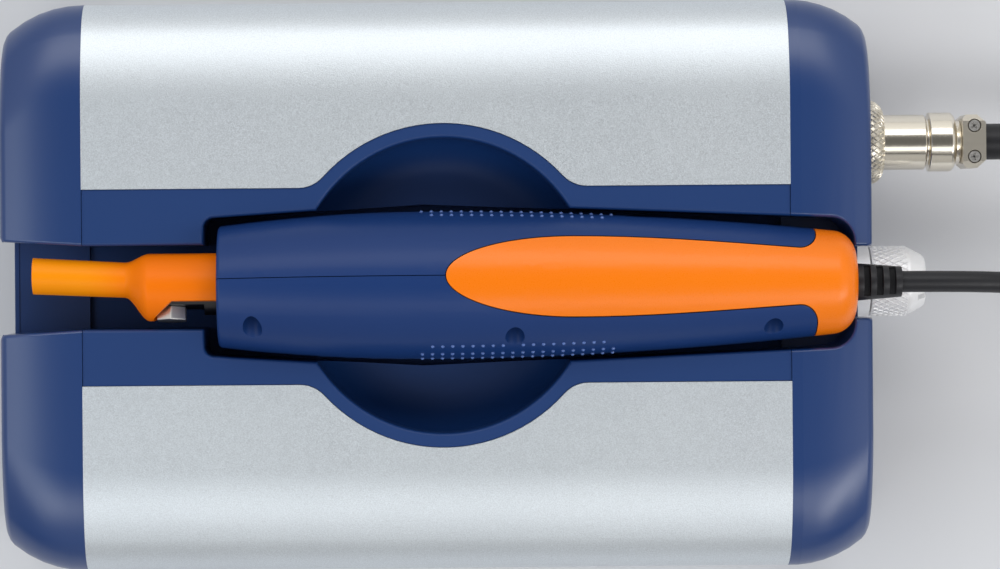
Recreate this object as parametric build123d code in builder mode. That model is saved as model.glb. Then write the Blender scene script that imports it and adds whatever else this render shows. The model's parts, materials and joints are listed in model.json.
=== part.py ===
from build123d import *
import os
from math import cos, pi, radians, sin, sqrt, tan

# Ultrasonic cutter: a bench generator with a cradle in its top, and the handpiece that lies in it.
# Millimetres. X runs along the base from the blade end to the connectors, Z is up.
# The origin is on the table, under the middle of the base.

os.makedirs("parts", exist_ok=True)

# Fits
TOUCH_GAP = 0.1  # between fixed pieces that are pushed together
RUN_GAP = 0.06  # radial gap of a turning or sliding fit
FREE_GAP = 0.3  # between bodies that lift apart
KEY_GAP = 0.2  # round each key

# Base
BASE_LENGTH = 212.6
BASE_WIDTH = 139.4
BASE_HEIGHT = 60.0
FOOT_HEIGHT = 4.0
FOOT_RADIUS = 7.0
FOOT_INSET_X = 35.0
FOOT_INSET_Y = 23.5
CAP_LENGTH = 20.2
CAP_BAND = 0.5  # straight band of the front end cap beside the extrusion
CAP_REAR_BAND = 2.6  # the same of the rear end cap, which ends in a crease
CAP_CREASE = 2.0
CAP_SWEEP_RADIUS = 29.0  # plan radius of an end cap's sides
CAP_DROOP = 0.4  # fall of an end cap's top, as a share of the draw-in of its sides
CAP_EDGE_RADIUS = 1.8
CAP_END_WALL = 3.6
CAP_BANDS = 5  # bands of an end cap's sweep, and of its end edge
CAP_EDGE_BANDS = 3
TOP_CORNER_Y = 25.2  # the extrusion's upper corner is wider than it is high
TOP_CORNER_Z = 16.0
BOTTOM_CORNER = 9.0
SHELL_WALL = 2.4

# Opening in the top of the extrusion
OPENING_HALF_WIDTH = 23.9
OPENING_RADIUS = 39.4
OPENING_FILLET = 8.0
SCOOP_X = 1.7
SCOOP_BORDER = 3.5
SCOOP_DEPTH = 20.0
SCOOP_FLOOR_RADIUS = 9.0

# Cradle
TRAY_WALL = 2.2
TRAY_DROP = 0.4  # tray top below the extrusion's top
TRAY_PLATE = 5.0
TRAY_LIP = 4.0
CHANNEL_GAP = 2.0  # beside the handpiece
TAIL_GAP = 3.6  # beside its tail
CHANNEL_DEPTH = 26.0
CHANNEL_CORNER = 2.5
BLADE_CHANNEL_HALF = 10.2
NOSE_ROOM = 3.5  # ahead of the handpiece's nose
NOTCH_DEPTH = 24.5
FRONT_NOTCH_FLARE = 1.15
NOTCH_MOUTH_CHAMFER = 0.6
REAR_NOTCH_HALF = 8.75
SADDLE_LENGTH = 5.0
SADDLE_HALF_WIDTH = 10.5
SADDLE_INSET_FRONT = 24.0
SADDLE_INSET_REAR = 34.0

# Handpiece
HAND_LENGTH = 155.0
NOSE_X = -53.0
AXIS_DROP = 4.0  # handpiece axis below the rim
HAND_ROLL = 8.0  # the handpiece lies turned about its own axis
NOSE_RADIUS = 14.7
GRIP_RADIUS = 17.95
TAIL_RADIUS = 12.0
GRIP_X = -3.0  # where the handpiece is thickest
NOSE_EDGE_RADIUS = 1.0
TAIL_EDGE_RADIUS = 6.0
HAND_WALL = 2.4
NOSE_WALL = 2.5
SLEEVE_WALL = 1.5
SLEEVE_COLLAR = 10.0
SLEEVE_END_WALL = 2.0
SLEEVE_GAP = 0.25
TONGUE_TIP_X = 2.2
TONGUE_WIDE_X = 33.0
TONGUE_HALF_WIDTH = 9.7
TONGUE_NECK_HALF = 6.5
TONGUE_TAPER = 0.07  # slope of the tongue's sides at the collar
TONGUE_FLARE = 4.5
SCREW_HEAD_RADIUS = 2.1
SCREW_HEAD_HEIGHT = 1.6
SCREW_RADIUS = 1.2
SCREW_SEAT_Y = 4.5
SCREW_GRIP = 6.0  # thread in the far half
SCREW_BOSS_RADIUS = 2.7
SCREW_HOLE_GAP = 0.25
SCREW_NOSE_INSET = 8.6
SCREW_TAIL_INSET = 20.8
SCREW_MIDDLE_X = 18.7
SCREW_RISE = 10.6  # screw rows above and below the axis
SCREW_TAIL_RISE = 7.6

# Transducer, blade and cap
HORN_RADIUS = 6.8
HORN_REACH = 16.9  # ahead of the nose
HORN_HOLE_GAP = 0.8
HORN_FLANGE_X = -34.0
HORN_FLANGE_LENGTH = 3.0
HORN_FLANGE_RADIUS = 12.0
HORN_FLAT_Y = 4.9  # flat under the bolt head
MOUNT_RING_LENGTH = 2.0
RIB_LENGTH = 2.0
STACK_RADIUS = 8.6
STACK_X = -8.0
PIEZO_COUNT = 4
PIEZO_LENGTH = 3.2
PIEZO_BORE = 4.3
ELECTRODE_LENGTH = 0.3
ELECTRODE_TAB = 2.2
BACK_MASS_LENGTH = 9.0
PRELOAD_RADIUS = 3.95
PRELOAD_HEAD_RADIUS = 6.0
PRELOAD_HEAD_LENGTH = 4.5
PRELOAD_DEPTH = 12.0  # thread in the horn
BOLT_REACH = 11.4  # bolt axis ahead of the nose
BOLT_ACROSS_FLATS = 7.0
BOLT_HEAD = 3.3
BOLT_RADIUS = 2.0
BOLT_LENGTH = 9.5
BLADE_THICKNESS = 0.6
BLADE_Y = 1.95
BLADE_REACH = 41.0  # blade tip ahead of the nose
BLADE_ROOT = 4.5  # blade root ahead of the nose
BLADE_HALF_HEIGHT = 2.4
BLADE_TANG_HALF = 4.6
BLADE_TANG_LENGTH = 10.0
BLADE_POINT = 9.0
CAP_REACH = 45.2
CAP_TUBE_RADIUS = 4.45
CAP_NECK_RADIUS = 4.3
CAP_BODY_RADIUS = 8.25
CAP_TIP_Y = 3.0
CAP_NECK_Y = 1.85
CAP_BODY_LENGTH = 16.5
CAP_SHOULDER = 6.0
CAP_SHOULDER_BANDS = 9
CAP_WALL = 1.2
CAP_TIP_WALL = 1.5
CAP_WINDOW_Y = 4.2
CAP_WINDOW_LENGTH = 10.8
CAP_WINDOW_SLANT = 4.9
BOLT_SWING_GAP = 0.5

# Strain relief and cable
RELIEF_LENGTH = 11.2
RELIEF_ROOT_RADIUS = 4.6
RELIEF_TIP_RADIUS = 3.7
RELIEF_NECK_RADIUS = 4.0
RELIEF_COLLAR_RADIUS = 5.6
RELIEF_COLLAR_LENGTH = 2.0
RELIEF_SLOTS = 3
RELIEF_SLOT = 1.6
RELIEF_SLOT_PITCH = 3.1
RELIEF_FIRST_SLOT = 1.8
RELIEF_SLOT_FLOOR = 1.4  # from the axis
RELIEF_RAIL = 0.55
CABLE_DIAMETER = 5.2
COIL_TURNS = 6.5
COIL_MEAN_RADIUS = 30.5
COIL_PITCH = 5.9
COIL_X = 222.2
TIE_THICKNESS = 0.8
TIE_WIDTH = 5.0
TIE_GAP = 0.4

# Connectors on the rear end
CONNECTOR_Z = 26.0
RECESS_DEPTH = 1.2  # shallow recess round the connectors
RECESS_WIDTH = 69.0
RECESS_HEIGHT = 27.8
RECESS_Y = 14.5
PLUG_Y = 35.0
SOCKET_RADIUS = 8.0
SOCKET_FLANGE_RADIUS = 10.0
SOCKET_FLANGE = 1.2
SOCKET_OUT = 4.6  # socket thread outside the end cap
SOCKET_IN = 7.0
SOCKET_BORE = 6.6
SOCKET_STEP = 1.0  # inner shoulder that the contact insert sits on
SOCKET_NUT_RADIUS = 10.8
SOCKET_NUT = 2.5
NUT_RADIUS = 10.5
NUT_LENGTH = 6.7
NUT_LIP = 1.5
NUT_CROWN = 3.9  # radius of the nut's rounded end
BARREL_RADIUS = 6.95
BARREL_COLLAR_RADIUS = 7.75
BARREL_END = 18.6  # ends of the barrel's steps, from the rear end
GROOVE = 0.9
GROOVE_RADIUS = 5.8
REAR_BARREL_RADIUS = 7.45
REAR_BARREL = 6.6
PLUG_NECK_RADIUS = 5.4
PLUG_NECK = 1.5
PLUG_BORE = 5.9
CLAMP_LENGTH = 5.8
CLAMP_WIDTH = 13.4
CLAMP_CHAMFER = 1.6
CLAMP_NECK_CHAMFER = 1.0
CLAMP_END_CHAMFER = 2.0
CLAMP_SCREW_RADIUS = 0.8
CLAMP_SCREW_HEAD = 1.6
CLAMP_SCREW_Y = 3.9
SLEEVE_RADIUS = 2.85
SLEEVE_OUT_RADIUS = 4.55
SLEEVE_OUT = 7.3
PIN_RADIUS = 0.8
PIN_CIRCLE = 3.4
PIN_COUNT = 4
PIN_REACH = 3.0
PEDAL_RADIUS = 6.0
PEDAL_FLANGE_RADIUS = 8.85
PEDAL_FLANGE = 4.0
PEDAL_OUT = 13.2
PEDAL_BORE = 4.6
PEDAL_CAP_RADIUS = 8.7
PEDAL_CAP_KNURL = 9.25
PEDAL_CAP_BAND = 4.5
PEDAL_CAP_END_RADIUS = 6.0
PEDAL_CAP_EDGE = 0.7
PEDAL_CAP_GAP = 0.45
PEDAL_CAP_SLOT = 1.5
PEDAL_CAP_SLOT_DEPTH = 2.2
PEDAL_CAP_SLOT_TURN = 125.0

# Mains inlet and switch, in a pocket of the rear end
POCKET_DEPTH = 3.2
POCKET_WIDTH = 43.5
POCKET_HEIGHT = 27.0
POCKET_Y = -31.75
POCKET_CORNER = 3.0
INLET_Y = -37.5
INLET_WIDTH = 27.0
INLET_HEIGHT = 19.5
INLET_LENGTH = 19.0
INLET_BEZEL = 2.0
INLET_RIM = 1.4
INLET_WALL = 1.4
INLET_CAVITY_DEPTH = 16.0
INLET_CHAMFER = 4.0
INLET_PIN_WIDTH = 2.0
INLET_PIN_HEIGHT = 4.0
INLET_PIN_LENGTH = 16.0
INLET_PIN_Y = 7.0
INLET_PIN_Z = 2.0
SWITCH_Y = -16.0
SWITCH_WIDTH = 9.0
SWITCH_HEIGHT = 13.6
SWITCH_LENGTH = 11.0
SWITCH_BEZEL = 1.2
SWITCH_RIM = 0.7
ROCKER_RADIUS = 5.4
ROCKER_WIDTH = 6.6
ROCKER_PIVOT = 2.1  # below the pocket floor
ROCKER_DISH = 2.4  # pivot to the fold of the face
ROCKER_TIP_ANGLE = 44.0  # from the fold to each tip
ROCKER_REST = 8.0  # tilt at rest, degrees

# Front panel
PANEL_WIDTH = 92.0
PANEL_HEIGHT = 27.4
PANEL_Z = 26.2
PANEL_THICKNESS = 1.2
PANEL_RECESS = 2.7
PANEL_LEDGE = 3.0
PANEL_CORNER = 4.0
WINDOW_WIDTH = 34.0
WINDOW_HEIGHT = 14.0
WINDOW_Y = -18.0
KEY_RADIUS = 4.5
KEY_PROUD = 1.0
KEY_FLANGE = 1.0
KEY_FLANGE_STEP = 1.1
KEY_STEM_RADIUS = 1.5
KEY_FIRST_Y = 10.0
KEY_PITCH = 12.5
KEY_TRAVEL = 0.8
BOARD_THICKNESS = 1.6
DISPLAY_BOARD_GAP = 5.6  # behind the panel

# End cap screws and the extrusion's screw ports
PORT_RADIUS = 3.6
PORT_Y = 57.0
PORT_LOW_Z = 13.0
PORT_HIGH_Z = 48.0
PORT_WEB = 3.0
CAP_SCREW_RADIUS = 1.5
CAP_SCREW_HEAD_RADIUS = 2.8
CAP_SCREW_HEAD = 2.0
CAP_SCREW_SINK = 3.0
CAP_SCREW_GRIP = 9.0
CAP_CAVITY_HALF = 52.0
CAP_CAVITY_LOW = 10.0
CAP_FLOOR = 3.0  # under the notches

# Electronics
MAIN_BOARD_LENGTH = 148.0
MAIN_BOARD_WIDTH = 96.0
MAIN_BOARD_X = -4.0
SPACER_HEIGHT = 5.0
SPACER_RADIUS = 2.8
SPACER_INSET = 6.0
CORE_X = 54.0
CORE_Y = -32.0
CORE_LENGTH = 30.0
CORE_WIDTH = 16.0
CORE_HEIGHT = 26.0
CORE_LIMB = 6.0
COIL_OVERHANG = 6.0
SINK_X = -60.0
SINK_Y = 36.0
SINK_LENGTH = 26.0
SINK_BASE = 4.0
SINK_FIN = 8.0
SINK_FIN_COUNT = 5
SINK_FIN_THICKNESS = 1.6
SINK_HEIGHT = 24.0
TRANSISTOR_WIDTH = 10.0
TRANSISTOR_HEIGHT = 15.0
TRANSISTOR_THICKNESS = 4.5
CAPACITOR_RADIUS = 8.0
CAPACITOR_HEIGHT = 26.0
CAPACITOR_X = -66.0
CAPACITOR_Y = -34.0
CAPACITOR_PITCH = 18.0
CAPACITOR_COUNT = 2

# Sizes that follow
RIM_Z = FOOT_HEIGHT + BASE_HEIGHT
HALF_LENGTH = BASE_LENGTH / 2
HALF_WIDTH = BASE_WIDTH / 2
EXTRUSION_LENGTH = BASE_LENGTH - 2 * CAP_LENGTH
JOINT_X = EXTRUSION_LENGTH / 2
SCOOP_RADIUS = OPENING_RADIUS - SCOOP_BORDER
TRAY_TOP = RIM_Z - TRAY_DROP
SCOOP_FLOOR_Z = RIM_Z - SCOOP_DEPTH
CHANNEL_FLOOR_Z = RIM_Z - CHANNEL_DEPTH
NOTCH_FLOOR_Z = RIM_Z - NOTCH_DEPTH
AXIS_Z = RIM_Z - AXIS_DROP
TAIL_X = NOSE_X + HAND_LENGTH
COLLAR_X = TAIL_X - SLEEVE_COLLAR
INNER_WALL_X = HALF_LENGTH - CAP_END_WALL
CABLE_RADIUS = CABLE_DIAMETER / 2
CAP_BORE = HORN_RADIUS + TOUCH_GAP
CAP_REAR_X = NOSE_X - FREE_GAP
BOLT_X = NOSE_X - BOLT_REACH
FLOOR_Z = FOOT_HEIGHT + SHELL_WALL
BOARD_Z = FLOOR_Z + SPACER_HEIGHT
BOARD_TOP = BOARD_Z + BOARD_THICKNESS

# The handpiece lies on its own axis, turned a little about it.
HAND = Plane(
    origin=(0, 0, AXIS_Z),
    x_dir=(1, 0, 0),
    z_dir=(0, sin(radians(HAND_ROLL)), cos(radians(HAND_ROLL))),
)
HAND_SIDE = Plane(origin=HAND.origin, x_dir=HAND.x_dir, z_dir=-HAND.y_dir)
HAND_AXIS = Axis(HAND.origin, HAND.x_dir)
PLUG_SIDE = Plane(origin=(0, PLUG_Y, CONNECTOR_Z), x_dir=(1, 0, 0), z_dir=(0, -1, 0))
PEDAL_SIDE = Plane(origin=(0, 0, CONNECTOR_Z), x_dir=(1, 0, 0), z_dir=(0, -1, 0))


def across(x, y=0.0, z=0.0):
    """The plane square to the length of the base at x, with Y to its right and Z up it."""
    return Plane(origin=(x, y, z), x_dir=(0, 1, 0), z_dir=(1, 0, 0))


def hand_across(x):
    """The plane square to the handpiece's axis at x."""
    return Plane(origin=HAND.from_local_coords((x, 0, 0)), x_dir=HAND.y_dir, z_dir=HAND.x_dir)


def hand_beside(x, y, z):
    """A plane square to the handpiece's parting plane, facing its left, at a point of the handpiece."""
    return Plane(origin=HAND.from_local_coords((x, y, z)), x_dir=HAND.x_dir, z_dir=-HAND.y_dir)


def turned(plane, *outline, mode=Mode.ADD):
    """Revolve an outline of (length, radius) points about the plane's own x axis."""
    with BuildSketch(plane) as profile:
        with BuildLine():
            Polyline(*outline, close=True)
        make_face()
    revolve(profile.sketch, axis=Axis(plane.origin, plane.x_dir), mode=mode)


def tube(plane, start, end, outer, inner=0.0, mode=Mode.ADD):
    """A ring, or a rod, about the plane's own x axis."""
    turned(plane, (start, inner), (end, inner), (end, outer), (start, outer), mode=mode)


def disc(plane, radius, amount, mode=Mode.ADD):
    """A round bar that stands on a plane."""
    with BuildSketch(plane) as face:
        Circle(radius)
    extrude(face.sketch, amount=amount, mode=mode)


def bar(plane, width, height, amount, corner=0.0, mode=Mode.ADD):
    """A rectangular bar that stands on a plane, with rounded corners if it has them."""
    with BuildSketch(plane) as face:
        if corner > 0:
            RectangleRounded(width, height, corner)
        else:
            Rectangle(width, height)
    extrude(face.sketch, amount=amount, mode=mode)


def biarc(start, heading_in, end, heading_out):
    """Two arcs that leave start and reach end in the given directions and meet smoothly."""
    chord = end - start
    both = heading_in + heading_out
    spread = 2 * (1 - heading_in.dot(heading_out))
    reach = chord.dot(both)
    arm = (sqrt(reach * reach + spread * chord.dot(chord)) - reach) / spread
    middle = (start + heading_in * arm + end - heading_out * arm) * 0.5
    TangentArc(start, middle, tangent=heading_in)
    TangentArc(middle, end, tangent=(end - heading_out * arm - middle).normalized())


def base_section(x, side=0.0, top=0.0, bottom=0.0, wall=0.0):
    """The base's cross-section at x, drawn in from its sides, top and bottom, and by a wall."""
    half = HALF_WIDTH - side - wall
    high = RIM_Z - top - wall
    low = FOOT_HEIGHT + bottom + wall
    corner_y = TOP_CORNER_Y - wall
    corner_z = TOP_CORNER_Z - wall
    foot = BOTTOM_CORNER - wall
    with BuildSketch(across(x)) as section:
        with BuildLine() as right:
            Line((0, low), (half - foot, low))
            ThreePointArc(
                (half - foot, low),
                (half - foot * (1 - sqrt(0.5)), low + foot * (1 - sqrt(0.5))),
                (half, low + foot),
            )
            Line((half, low + foot), (half, high - corner_z))
            side_end = Vector(half, high - corner_z)
            top_end = Vector(half - corner_y, high)
            biarc(side_end, Vector(0, 1), top_end, Vector(-1, 0))
            Line((half - corner_y, high), (0, high))
            mirror(right.line, about=Plane.YZ)
        make_face()
    return section.sketch


def end_cap_blank(end, straight, crease):
    """One end cap's outer form, from the extrusion to the end of the base; end is 1 or -1."""
    sweep_length = CAP_LENGTH - straight - CAP_EDGE_RADIUS
    stations = [0.0]
    for band in range(CAP_BANDS + 1):
        stations.append(straight + sweep_length * band / CAP_BANDS)
    for band in range(CAP_EDGE_BANDS):
        turn = radians(90 * (band + 1) / CAP_EDGE_BANDS)
        stations.append(CAP_LENGTH - CAP_EDGE_RADIUS * (1 - sin(turn)))
    sections = []
    for along in stations:
        past_band = crease + max(along - straight, 0)
        past_sweep = max(along - straight - sweep_length, 0)
        side = sqrt(CAP_SWEEP_RADIUS**2 - crease**2) - sqrt(CAP_SWEEP_RADIUS**2 - past_band**2)
        edge = CAP_EDGE_RADIUS - sqrt(max(CAP_EDGE_RADIUS**2 - past_sweep**2, 0))
        fall = side * CAP_DROOP
        sections.append(base_section(end * (JOINT_X + along), side + edge, fall + edge, fall + edge))
    loft(sections, ruled=True)


def cap_screw_places():
    """The (y, z) places of one end cap's screws."""
    return [(side * PORT_Y, z) for side in (-1, 1) for z in (PORT_LOW_Z, PORT_HIGH_Z)]


def hand_radius(x):
    """The handpiece's outer radius at x: one arc swells to the grip, another falls to the tail."""
    end_x, end_radius = (NOSE_X, NOSE_RADIUS) if x < GRIP_X else (TAIL_X, TAIL_RADIUS)
    drop = GRIP_RADIUS - end_radius
    sweep = ((end_x - GRIP_X) ** 2 + drop**2) / (2 * drop)
    return GRIP_RADIUS - sweep + sqrt(sweep**2 - (x - GRIP_X) ** 2)


def channel_half(x):
    """Half the width of the channel behind the grip, which tapers less than the handpiece."""
    share = (x - GRIP_X) / (TAIL_X - GRIP_X)
    return (1 - share) * (GRIP_RADIUS + CHANNEL_GAP) + share * (TAIL_RADIUS + TAIL_GAP)


def hand_form(start, end, inset=0.0, tail_edge=0.0, nose_edge=0.0, mode=Mode.ADD):
    """The handpiece's turned form between two places on its axis, drawn in by inset."""
    middle_front = (start + GRIP_X) / 2
    middle_rear = (GRIP_X + end) / 2
    with BuildSketch(HAND_SIDE) as profile:
        with BuildLine():
            Line((end, 0), (start, 0))
            Line((start, 0), (start, hand_radius(start) - inset))
            ThreePointArc(
                (start, hand_radius(start) - inset),
                (middle_front, hand_radius(middle_front) - inset),
                (GRIP_X, GRIP_RADIUS - inset),
            )
            ThreePointArc(
                (GRIP_X, GRIP_RADIUS - inset),
                (middle_rear, hand_radius(middle_rear) - inset),
                (end, hand_radius(end) - inset),
            )
            Line((end, hand_radius(end) - inset), (end, 0))
        make_face()
        if tail_edge > 0:
            fillet(profile.vertices().sort_by_distance((end, TAIL_RADIUS))[0], tail_edge)
        if nose_edge > 0:
            fillet(profile.vertices().sort_by_distance((start, NOSE_RADIUS))[0], nose_edge)
    revolve(profile.sketch, axis=HAND_AXIS, mode=mode)


def screw_spots():
    """The (x, z) places of the handpiece's screws on its parting plane."""
    columns = [
        (NOSE_X + SCREW_NOSE_INSET, SCREW_RISE),
        (SCREW_MIDDLE_X, SCREW_RISE),
        (TAIL_X - SCREW_TAIL_INSET, SCREW_TAIL_RISE),
    ]
    return [(x, side * rise) for x, rise in columns for side in (-1, 1)]


# Generator housing
with BuildPart() as extruded_shell:
    extrude(base_section(-JOINT_X), amount=EXTRUSION_LENGTH)
    extrude(base_section(-JOINT_X, wall=SHELL_WALL), amount=EXTRUSION_LENGTH, mode=Mode.SUBTRACT)
    for y, z in cap_screw_places():
        disc(across(-JOINT_X, y, z), PORT_RADIUS, EXTRUSION_LENGTH)
        wall_z = FLOOR_Z - SHELL_WALL / 2
        if z == PORT_HIGH_Z:
            wall_z = RIM_Z - TOP_CORNER_Z + TOP_CORNER_Z * sqrt(
                1 - ((PORT_Y + PORT_WEB / 2 - HALF_WIDTH + TOP_CORNER_Y) / TOP_CORNER_Y) ** 2
            ) - SHELL_WALL / 2
        web = abs(wall_z - z)
        bar(across(-JOINT_X, y, (wall_z + z) / 2), PORT_WEB, web, EXTRUSION_LENGTH)
        disc(across(-JOINT_X, y, z), CAP_SCREW_RADIUS + TOUCH_GAP, EXTRUSION_LENGTH, Mode.SUBTRACT)
    with BuildSketch(Plane.XY.offset(RIM_Z)) as opening:
        Rectangle(EXTRUSION_LENGTH, 2 * OPENING_HALF_WIDTH)
        with Locations((SCOOP_X, 0)):
            Circle(OPENING_RADIUS)
        fillet(
            opening.vertices().filter_by(lambda v: abs(v.X) < JOINT_X - OPENING_FILLET),
            OPENING_FILLET,
        )
    extrude(amount=-2 * SHELL_WALL, mode=Mode.SUBTRACT)

with BuildPart() as hand_room:
    hand_form(NOSE_X, TAIL_X, inset=-FREE_GAP)

with BuildPart() as cradle_tray:
    with BuildSketch(Plane.XY.offset(TRAY_TOP)) as tray_top:
        Rectangle(EXTRUSION_LENGTH - 2 * TOUCH_GAP, 2 * (OPENING_HALF_WIDTH - TOUCH_GAP))
        with Locations((SCOOP_X, 0)):
            Circle(OPENING_RADIUS - TOUCH_GAP)
        fillet(
            tray_top.vertices().filter_by(lambda v: abs(v.X) < JOINT_X - OPENING_FILLET),
            OPENING_FILLET,
        )
    extrude(amount=-TRAY_PLATE)
    lip_top = RIM_Z - SHELL_WALL - TOUCH_GAP
    with BuildSketch(Plane.XY.offset(lip_top)):
        Rectangle(EXTRUSION_LENGTH - 2 * TOUCH_GAP, 2 * (OPENING_HALF_WIDTH + TRAY_LIP))
        with Locations((SCOOP_X, 0)):
            Circle(OPENING_RADIUS + TRAY_LIP)
    extrude(amount=TRAY_TOP - TRAY_PLATE - lip_top)
    with BuildSketch(Plane.XY.offset(SCOOP_FLOOR_Z - TRAY_WALL)):
        with Locations((SCOOP_X, 0)):
            Circle(SCOOP_RADIUS + TRAY_WALL)
    extrude(amount=SCOOP_DEPTH + TRAY_WALL - SHELL_WALL - TRAY_DROP)
    trough_half = GRIP_RADIUS + CHANNEL_GAP + TRAY_WALL
    with BuildSketch(Plane.XY.offset(CHANNEL_FLOOR_Z - TRAY_WALL)):
        Rectangle(EXTRUSION_LENGTH - 2 * TOUCH_GAP, 2 * trough_half)
    extrude(amount=CHANNEL_DEPTH + TRAY_WALL - SHELL_WALL - TRAY_DROP)
    pocket_x = NOSE_X - NOSE_ROOM
    with BuildSketch(Plane.XY.offset(CHANNEL_FLOOR_Z)) as channel:
        with BuildLine() as side:
            Polyline(
                (pocket_x, 0),
                (pocket_x, NOSE_RADIUS + CHANNEL_GAP),
                (GRIP_X, GRIP_RADIUS + CHANNEL_GAP),
                (JOINT_X, channel_half(JOINT_X)),
                (JOINT_X, 0),
            )
            mirror(side.line, about=Plane.XZ)
        make_face()
        fillet(channel.vertices().filter_by(lambda v: v.X < NOSE_X), CHANNEL_CORNER)
        with Locations(((pocket_x - JOINT_X) / 2, 0)):
            Rectangle(pocket_x + JOINT_X, 2 * BLADE_CHANNEL_HALF)
    extrude(amount=2 * CHANNEL_DEPTH, mode=Mode.SUBTRACT)
    scoop_side = Plane(origin=(SCOOP_X, 0, SCOOP_FLOOR_Z), x_dir=(1, 0, 0), z_dir=(0, -1, 0))
    with BuildSketch(scoop_side) as scoop:
        with Locations((SCOOP_RADIUS / 2, SCOOP_DEPTH)):
            Rectangle(SCOOP_RADIUS, 2 * SCOOP_DEPTH)
        fillet(scoop.vertices().sort_by_distance((SCOOP_RADIUS, 0))[0], SCOOP_FLOOR_RADIUS)
    revolve(axis=Axis(scoop_side.origin, (0, 0, 1)), mode=Mode.SUBTRACT)
    for saddle_x in (NOSE_X + SADDLE_INSET_FRONT, TAIL_X - SADDLE_INSET_REAR):
        with BuildSketch(Plane.XY.offset(CHANNEL_FLOOR_Z)):
            with Locations((saddle_x, 0)):
                Rectangle(SADDLE_LENGTH, 2 * SADDLE_HALF_WIDTH)
        extrude(amount=AXIS_Z - CHANNEL_FLOOR_Z - SADDLE_HALF_WIDTH)
    add(hand_room.part, mode=Mode.SUBTRACT)

with BuildPart() as front_end_cap:
    end_cap_blank(-1, CAP_BAND, 0)
    cavity_top = NOTCH_FLOOR_Z - CAP_FLOOR
    bar(
        across(-JOINT_X, 0, (CAP_CAVITY_LOW + cavity_top) / 2),
        2 * CAP_CAVITY_HALF,
        cavity_top - CAP_CAVITY_LOW,
        CAP_END_WALL + PANEL_RECESS - CAP_LENGTH,
        mode=Mode.SUBTRACT,
    )
    mouth_half = BLADE_CHANNEL_HALF + FRONT_NOTCH_FLARE
    with BuildSketch(Plane.XY.offset(NOTCH_FLOOR_Z)):
        with BuildLine() as side:
            Polyline(
                (-JOINT_X, 0),
                (-JOINT_X, BLADE_CHANNEL_HALF),
                (NOTCH_MOUTH_CHAMFER - HALF_LENGTH, mouth_half),
                (-HALF_LENGTH, mouth_half + NOTCH_MOUTH_CHAMFER),
                (-HALF_LENGTH, 0),
            )
            mirror(side.line, about=Plane.XZ)
        make_face()
    extrude(amount=NOTCH_DEPTH, mode=Mode.SUBTRACT)
    bar(
        across(-HALF_LENGTH, 0, PANEL_Z),
        PANEL_WIDTH,
        PANEL_HEIGHT,
        PANEL_RECESS,
        PANEL_CORNER,
        Mode.SUBTRACT,
    )
    bar(
        across(-HALF_LENGTH, 0, PANEL_Z),
        PANEL_WIDTH - 2 * PANEL_LEDGE,
        PANEL_HEIGHT - 2 * PANEL_LEDGE,
        CAP_LENGTH,
        mode=Mode.SUBTRACT,
    )
    for y, z in cap_screw_places():
        disc(
            across(-HALF_LENGTH, y, z),
            CAP_SCREW_HEAD_RADIUS + TOUCH_GAP,
            CAP_SCREW_SINK + CAP_SCREW_HEAD,
            Mode.SUBTRACT,
        )
        disc(across(-HALF_LENGTH, y, z), CAP_SCREW_RADIUS + TOUCH_GAP, CAP_LENGTH, Mode.SUBTRACT)

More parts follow.
